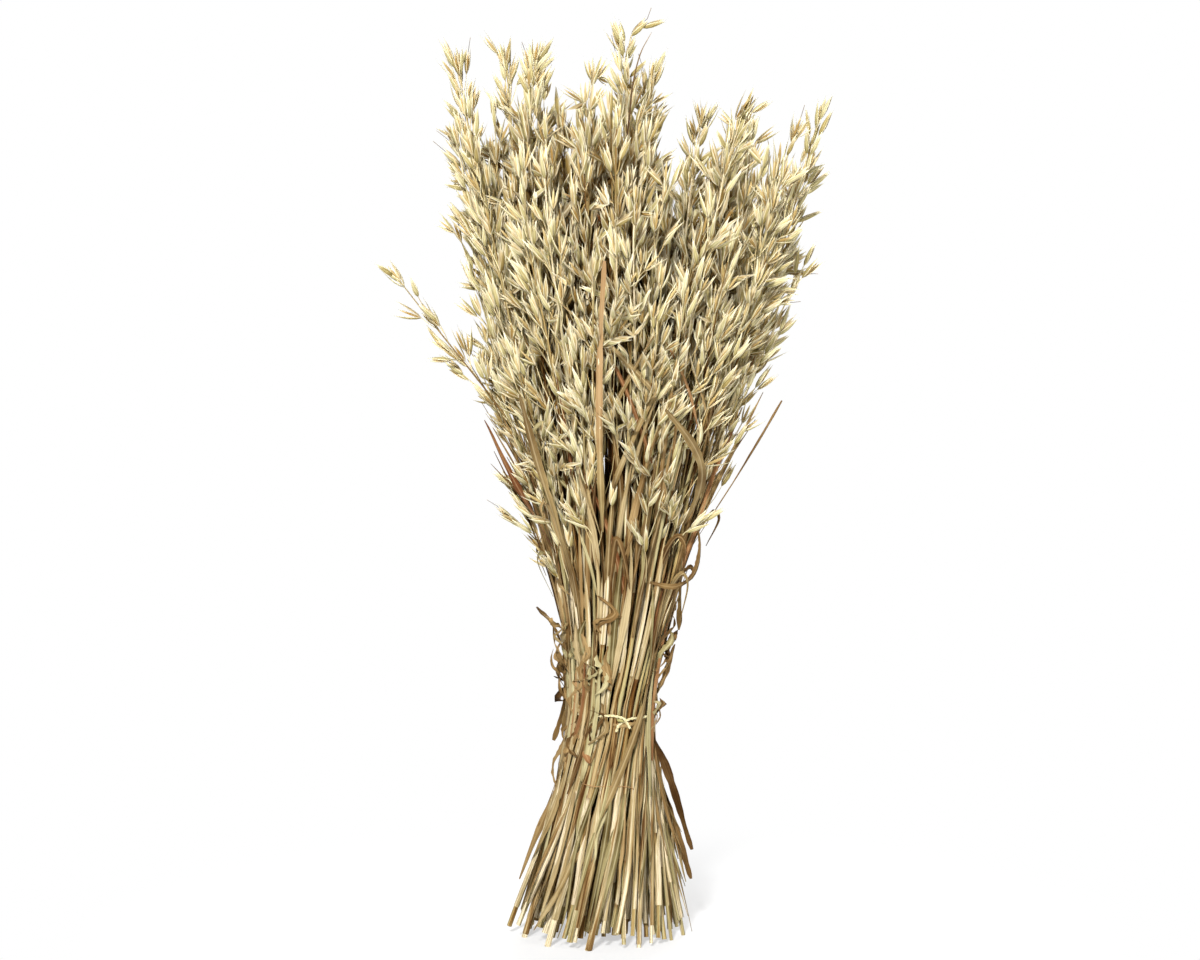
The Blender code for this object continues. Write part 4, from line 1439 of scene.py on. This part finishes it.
def add_loose_strip(piece, chance, kind, waypoints):
    """Adds a strip that takes its colour, width, curl and turn at random as its kind allows."""
    colors, widths, curl, turn, ripple, ragged = STRIP_LOOKS[kind]
    finish = str(chance.choice(colors))
    width = chance.uniform(*widths)
    curl = chance.uniform(-curl, curl)
    if turn:
        turn = chance.uniform(-turn, turn)
    add_strip(piece, chance, waypoints, width, finish, curl, turn, ripple, ragged)


def placed(chance, rows, jitter=(0.1, 0.9)):
    """Bearings spread evenly for rows of (count, first, last, ...), each with the rest of its row."""
    for count, first, last, *rest in rows:
        for i in range(count):
            yield first + (last - first) * (i + chance.uniform(*jitter)) / count, *rest


def rising_route(start, turn, rise, reach, middle, nearest=(0.0, 0.0)):
    """A route of three points from a start, for a whole turn, rise and reach outwards.

    The middle point is at its own share of each. The later points' reaches may start from nearest distances.
    """
    bearing, height, _ = start
    turned_by, risen, reached = middle
    return (
        start,
        (bearing + turn * turned_by, height + rise * risen, nearest[0] + reach * reached),
        (bearing + turn, height + rise, nearest[1] + reach),
    )


def make_lying_strips(chance):
    """Strips that lie along the stems above and below the tie."""
    for name, count, starts, way, slants in LYING_STRIPS:
        piece = Piece()
        for (bearing,) in placed(chance, [(count, 0, 360)], (-0.3, 0.3)):
            start, length = draws(chance, starts, LYING_LENGTH)
            length = way * (length if way > 0 else min(length, start - LOWEST_END))
            slant = bearing_gain(start, start + length) + chance.normal(0, slants)
            foot = (bearing, start, 0.0004)
            lift = chance.uniform(*LYING_LIFTS)
            route = rising_route(foot, slant, length, lift, (0.5, 0.5, 0.3), (0.0008, 0.0010))
            add_loose_strip(piece, chance, "lying", route)
        piece.make(name, "tan_leaf")


def make_crossing_strips(chance):
    """Strips that cross over the twine, and the one that lies level under it."""
    piece = Piece()
    for bearing, slant in placed(chance, CROSSING_STRIPS, (0.2, 0.8)):
        half = chance.normal(slant, CROSSING_SPREAD)
        foot, top = draws(chance, CROSSING_FEET, CROSSING_TOPS)
        middle = (bearing, WAIST_HEIGHT, 0.0034)
        route = ((bearing - half, foot, 0.0010), middle, (bearing + half * 0.4, top, 0.0015))
        add_loose_strip(piece, chance, "crossing", route)
    add_strip(piece, chance, TIE_BAND, width=0.0055, finish="brown", curl=0.2)
    piece.make("tie_crossing_strips", "tan_leaf")


def make_folded_strips(chance):
    """Strips that rise, fold over and hang down again."""
    piece = Piece()
    for bearing, starts in placed(chance, FOLDED_STRIPS):
        rise, fall = draws(chance, FOLD_RISES, FOLD_FALLS)
        turn = chance.choice([-1, 1]) * chance.uniform(*FOLD_TURNS)
        low, out = draws(chance, starts, FOLD_REACHES)
        route = (
            (bearing, low, 0.0006),
            (bearing + turn * 0.3, low + rise * 0.7, out * 0.4),
            (bearing + turn * 0.6, low + rise, out),
            (bearing + turn * 1.1, low + rise - fall * 0.25, out * 1.5),
            (bearing + turn * 2.0, low + rise - fall, out * 1.2),
        )
        add_loose_strip(piece, chance, "folded", route)
    piece.make("folded_strips", "tan_leaf")


def make_standing_strips(chance):
    """Thin strips that stand off the sheaf, and the dark blade in the crown."""
    piece = Piece()
    for bearing, *spans in placed(chance, STANDING_STRIPS):
        start, end, reach = draws(chance, *spans)
        slant = chance.normal(0, STANDING_SLANT)
        route = rising_route((bearing, start, 0.0006), slant, end - start, reach, (0.4, 0.5, 0.35))
        add_loose_strip(piece, chance, "standing", route)
    add_strip(piece, chance, CROWN_BLADE, width=0.0014, finish="awn", curl=0.6, ripple=0.3)
    piece.make("standing_strips", "brown_leaf")


def make_strips():
    """All the loose strips, on one run of chance."""
    chance = np.random.default_rng(STRIP_SEED)
    make_lying_strips(chance)
    make_crossing_strips(chance)
    make_folded_strips(chance)
    make_standing_strips(chance)


def make_scraps():
    """The small curled scraps of brown leaf that cling round the waist."""
    chance = np.random.default_rng(SCRAP_SEED)
    piece = Piece()
    for count, bearings, heights, reaches in SCRAPS:
        for _ in range(count):
            bearing, height, length, reach = draws(chance, bearings, heights, SCRAP_LENGTH, reaches)
            length *= chance.choice([-1, 1])
            route = (
                (bearing, height, 0.0003),
                (bearing + chance.normal(0, 4), height + length * 0.35, reach * 0.5),
                (bearing + chance.normal(0, 7), height + length * 0.7, reach),
                (bearing + chance.normal(0, 9), height + length * chance.uniform(0.8, 1.2),
                 reach * chance.uniform(0.4, 1.4)),
            )
            add_loose_strip(piece, chance, "scrap", route)
    piece.make("papery_scraps", "brown_leaf")


# Small sprays stand out below the heads: how many, between which bearings, where they start, and how far they
# reach outwards.
SPRAYS = (
    (4, -110, -97, (0.35, 0.44), (0.0185, 0.0205)),
    (9, -205, -140, (0.245, 0.41), (0.006, 0.018)),
    (9, -196, -162, (0.27, 0.40), (0.011, 0.024)),
    (10, -205, -150, (0.45, 0.57), (0.002, 0.012)),
    (18, -145, -20, (0.265, 0.41), (0.004, 0.014)),
    (8, -20, 155, (0.26, 0.42), (0.004, 0.012)),
)
SPRAY_LENGTH = (0.018, 0.046)
SPRAY_SLANT = 10
SPRAY_STEPS = 3
SPRAY_TONES = (0.3, 0.9)
SPRAY_TOP = 0.45
SPRAY_SPIKELETS = 4
SPRAY_GAP = 0.0006
SPRAY_SWERVE = 0.32
SPRAY_LEANS = (-0.05, 0.5)


def make_sprays():
    """Thin side branches with a few spikelets each, out at the surface of the sheaf below its heads."""
    chance = np.random.default_rng(SPRAY_SEED)
    piece = Piece()
    bases, directions = [], []
    for bearing, starts, reaches in placed(chance, SPRAYS):
        low, length, reach = draws(chance, starts, SPRAY_LENGTH, reaches)
        slant = chance.normal(0, SPRAY_SLANT)
        route = rising_route((bearing, low, 0.0005), slant, length, reach, (0.4, 0.6, 0.5))
        route = route_through(route, SPRAY_STEPS)
        outward = unit(route[-1] - axis_at(route[-1, 2]))
        add_branch(piece, route, chance.uniform(*SPRAY_TONES), outward)
        for place in range(-1, -1 - SPRAY_SPIKELETS, -1):
            along = unit(route[place] - route[place - 1])
            aside = chance.normal(0, SPRAY_SWERVE) * np.cross(along, outward)
            bases.append(route[place] + outward * SPRAY_GAP)
            directions.append(unit(along + aside + outward * chance.uniform(*SPRAY_LEANS)))
    add_spikelets(piece, np.array(bases), np.array(directions), SPRAY_TOP, chance)
    piece.make("low_sprays", "oat_straw")


FIBRE = (
    (-119, 0.1215, 0.0006), (-104, 0.1205, 0.0016), (-88, 0.1208, 0.0012), (-66, 0.1195, 0.0010),
    (-60, 0.116, 0.0020),
)
FIBRE_STEPS = 6
FIBRE_SIDES = 4
FIBRE_RADIUS = 0.00032
UP = np.array([0.0, 0.0, 1.0])


def make_fibre():
    """The one thin fibre that lies across the front of the stems below the tie."""
    route = route_through(FIBRE, FIBRE_STEPS)
    radius = np.full(len(route), FIBRE_RADIUS)
    piece = Piece()
    rings = round_rings(route, UP, FIBRE_SIDES, radius, radius)
    add_one(piece, rings, route[0], route[-1], "rust", tone=0.9)
    piece.make("loose_fibre", "rust_leaf")


# === Twine: a two-ply cord round the waist, knotted in front. ===

# The plies stand a little further out than the model's plain cord.
PLY_LIFT = 0.000076
PLY_RADIUS = 0.00058
PLY_OFFSET = 0.00050
PLY_PITCH = 0.0065
PLY_SIDES = 6
PLY_TONE_GAP = 0.2
TWINE_TONE = 0.6
TWINE_STEPS = 10
# The lap round the waist: where it starts, how far it goes, and its number of waypoints after the first.
LAP_START = -88
LAP_ANGLE = 338
LAP_STEPS = 24
# The ends in front: their bearings, their drops below the waist, and whether they lie over the lap.
FIRST_END = ((-67, 0.008, True), (-71, 0.004, True), (-76, 0.0, True))
SECOND_END = ((-439, 0.005, False), (-444, 0.010, True))
# The knot's loop over the crossing of the ends: its middle, its half widths, its turns and its rise.
KNOT_PLACE = (-79.0, WAIST_HEIGHT - 0.001, 0.0026)
KNOT_WIDE = 0.0019
KNOT_DEEP = 0.0016
KNOT_TURNS = 1.1
KNOT_POINTS = 28
KNOT_RISE = 0.003


def twine_route():
    """The twine's run, as in the model: an end in front, once round the waist, and out again over itself."""
    rim = PLY_LIFT + CLEARANCE + TIE_RADIUS
    over = rim + 2 * (TIE_RADIUS + CLEARANCE)
    drop = TIE_RADIUS + CLEARANCE
    first, second = (
        [(bearing, WAIST_HEIGHT - below, over if is_over else rim) for bearing, below, is_over in end]
        for end in (FIRST_END, SECOND_END)
    )
    lap = [
        (LAP_START - LAP_ANGLE * share, WAIST_HEIGHT + drop * (1 - 2 * share), rim)
        for share in np.linspace(0, 1, LAP_STEPS + 1)
    ]
    return route_through([*first, *lap, *second], TWINE_STEPS)


def add_plies(piece, route, reference, tone):
    """Adds two plies that twist round each other along a route."""
    _, towards, across = frames_along(route, reference)
    along = np.concatenate([[0], np.linalg.norm(np.diff(route, axis=0), axis=1).cumsum()])
    radius = np.full(len(route), PLY_RADIUS)
    for ply in range(2):
        angle = (2 * math.pi * along / PLY_PITCH + math.pi * ply)[:, None]
        line = route + (towards * np.cos(angle) + across * np.sin(angle)) * PLY_OFFSET
        rings = round_rings(line, reference, PLY_SIDES, radius, radius)
        add_one(piece, rings, line[0], line[-1], "twine", tone + PLY_TONE_GAP * ply, rows_per_cell=8)


def make_tie():
    """The twine in place of its solid: a two-ply cord round the waist, with its knot in front."""
    route = twine_route()
    piece = Piece()
    add_plies(piece, route, unit(route - axis_at(route[:, 2])), TWINE_TONE)
    turns = np.linspace(0, KNOT_TURNS * 2 * math.pi, KNOT_POINTS)[:, None]
    middle = rim_point(*KNOT_PLACE)
    out = unit(middle - axis_at(middle[2]))
    loop = middle + np.cross(UP, out) * KNOT_WIDE * np.cos(turns) + out * KNOT_DEEP * np.sin(turns)
    loop += UP * KNOT_RISE * (turns / turns[-1] - 0.5)
    add_plies(piece, loop, UP, 0.0)
    piece.make("raffia_tie", "twine", ["twine_tie"])


# === The studio ===

CAMERA_DISTANCE = 2.6
CAMERA_ELEVATION = math.radians(6)
CAMERA_LENS = 103
TARGET = (-0.0034, 0.0, 0.349)
WORLD_LIGHT = 0.02
FLOOR_SIZE = 30.0
FLOOR_COLOR = (0.86, 0.86, 0.86, 1)
FLOOR_ROUGHNESS = 0.9
# The floor fades into the backdrop between these distances from the middle, from a share to the whole of it.
FADE_DISTANCES = (0.08, 0.42)
FADE_START = 0.55
# Each lamp's name, size, power in watts and place.
LAMPS = (
    ("key", 0.3, 133, (-0.5, -2.5, 1.8)),
    ("fill", 1.4, 27, (2.0, -1.8, 0.9)),
    ("top", 1.2, 16, (0.2, 0.6, 2.6)),
    ("back", 1.4, 60, (0.4, 2.6, 1.3)),
    ("side", 1.4, 9, (-2.4, 0.2, 1.0)),
)


def add_object(name, data):
    """A new object of the scene."""
    obj = bpy.data.objects.new(name, data)
    bpy.context.scene.collection.objects.link(obj)
    return obj


def camera():
    """A near level view of the bundle's front from a few metres away."""
    data = bpy.data.cameras.new("camera")
    data.lens = CAMERA_LENS
    obj = add_object("camera", data)
    back = CAMERA_DISTANCE * math.cos(CAMERA_ELEVATION)
    rise = CAMERA_DISTANCE * math.sin(CAMERA_ELEVATION)
    obj.location = (TARGET[0], TARGET[1] - back, TARGET[2] + rise)
    obj.rotation_euler = (math.pi / 2 - CAMERA_ELEVATION, 0, 0)
    bpy.context.scene.camera = obj


def calculated(tree, operation, *inputs):
    """The result of an operation on two numbers."""
    node = tree.nodes.new("ShaderNodeMath")
    node.operation = operation
    fill(tree, node.inputs, inputs)
    return node.outputs[0]


def seen_directly(tree):
    """1 for what the camera sees, directly, in a reflection or through glass, and 0 for other light."""
    path = tree.nodes.new("ShaderNodeLightPath").outputs
    total = calculated(tree, "MAXIMUM", path["Is Camera Ray"], path["Is Glossy Ray"])
    return calculated(tree, "MAXIMUM", total, path["Is Transmission Ray"])


def white_world():
    """A white backdrop to the camera, and soft weak light for the rest."""
    world = bpy.data.worlds.new("world")
    world.use_nodes = True
    tree = world.node_tree
    strength = tree.nodes.new("ShaderNodeMapRange")
    strength.inputs["To Min"].default_value = WORLD_LIGHT
    strength.inputs["To Max"].default_value = 1.0
    tree.links.new(seen_directly(tree), strength.inputs["Value"])
    background = tree.nodes["Background"]
    background.inputs["Color"].default_value = (1, 1, 1, 1)
    tree.links.new(strength.outputs[0], background.inputs["Strength"])
    bpy.context.scene.world = world


def floor_material():
    """White that keeps a shadow near the middle, and glows as the backdrop does away from it."""
    material = bpy.data.materials.new("floor")
    material.use_nodes = True
    tree = material.node_tree
    shader = tree.nodes["Principled BSDF"]
    shader.inputs["Base Color"].default_value = FLOOR_COLOR
    shader.inputs["Roughness"].default_value = FLOOR_ROUGHNESS
    shader.inputs["Specular IOR Level"].default_value = 0.0
    white = tree.nodes.new("ShaderNodeEmission")
    place = tree.nodes.new("ShaderNodeTexCoord")
    distance = tree.nodes.new("ShaderNodeVectorMath")
    distance.operation = "LENGTH"
    tree.links.new(place.outputs["Object"], distance.inputs[0])
    fade = tree.nodes.new("ShaderNodeMapRange")
    fade.interpolation_type = "SMOOTHSTEP"
    fill(tree, fade.inputs, (distance.outputs["Value"], *FADE_DISTANCES, FADE_START))
    share = calculated(tree, "MULTIPLY", fade.outputs[0], seen_directly(tree))
    mix = tree.nodes.new("ShaderNodeMixShader")
    fill(tree, mix.inputs, (share, shader.outputs[0], white.outputs[0]))
    tree.links.new(mix.outputs[0], tree.nodes["Material Output"].inputs["Surface"])
    return material


def floor():
    """A white floor that keeps the bundle's shadow and fades into the backdrop away from it."""
    mesh = bpy.data.meshes.new("floor")
    corners = [(x * FLOOR_SIZE, y * FLOOR_SIZE, 0) for x, y in ((-1, -1), (1, -1), (1, 1), (-1, 1))]
    mesh.from_pydata(corners, [], [(0, 1, 2, 3)])
    mesh.materials.append(floor_material())
    add_object("floor", mesh)


def lamp(name, size, power, place):
    """A square soft lamp that faces the middle of the bundle."""
    data = bpy.data.lights.new(name, "AREA")
    data.size = size
    data.energy = power
    obj = add_object(name, data)
    obj.location = place
    away = obj.location - type(obj.location)(TARGET)
    obj.rotation_euler = away.to_track_quat("Z", "Y").to_euler()


def studio():
    """The camera, the white floor and backdrop, and the lamps."""
    camera()
    white_world()
    floor()
    for each in LAMPS:
        lamp(*each)


bpy.context.scene.view_settings.view_transform = "Standard"
studio()
make_stalks()
for leaf_index, leaf in enumerate(LEAVES):
    make_leaf(leaf_index, *leaf)
make_strips()
make_scraps()
make_sprays()
make_fibre()
make_tie()
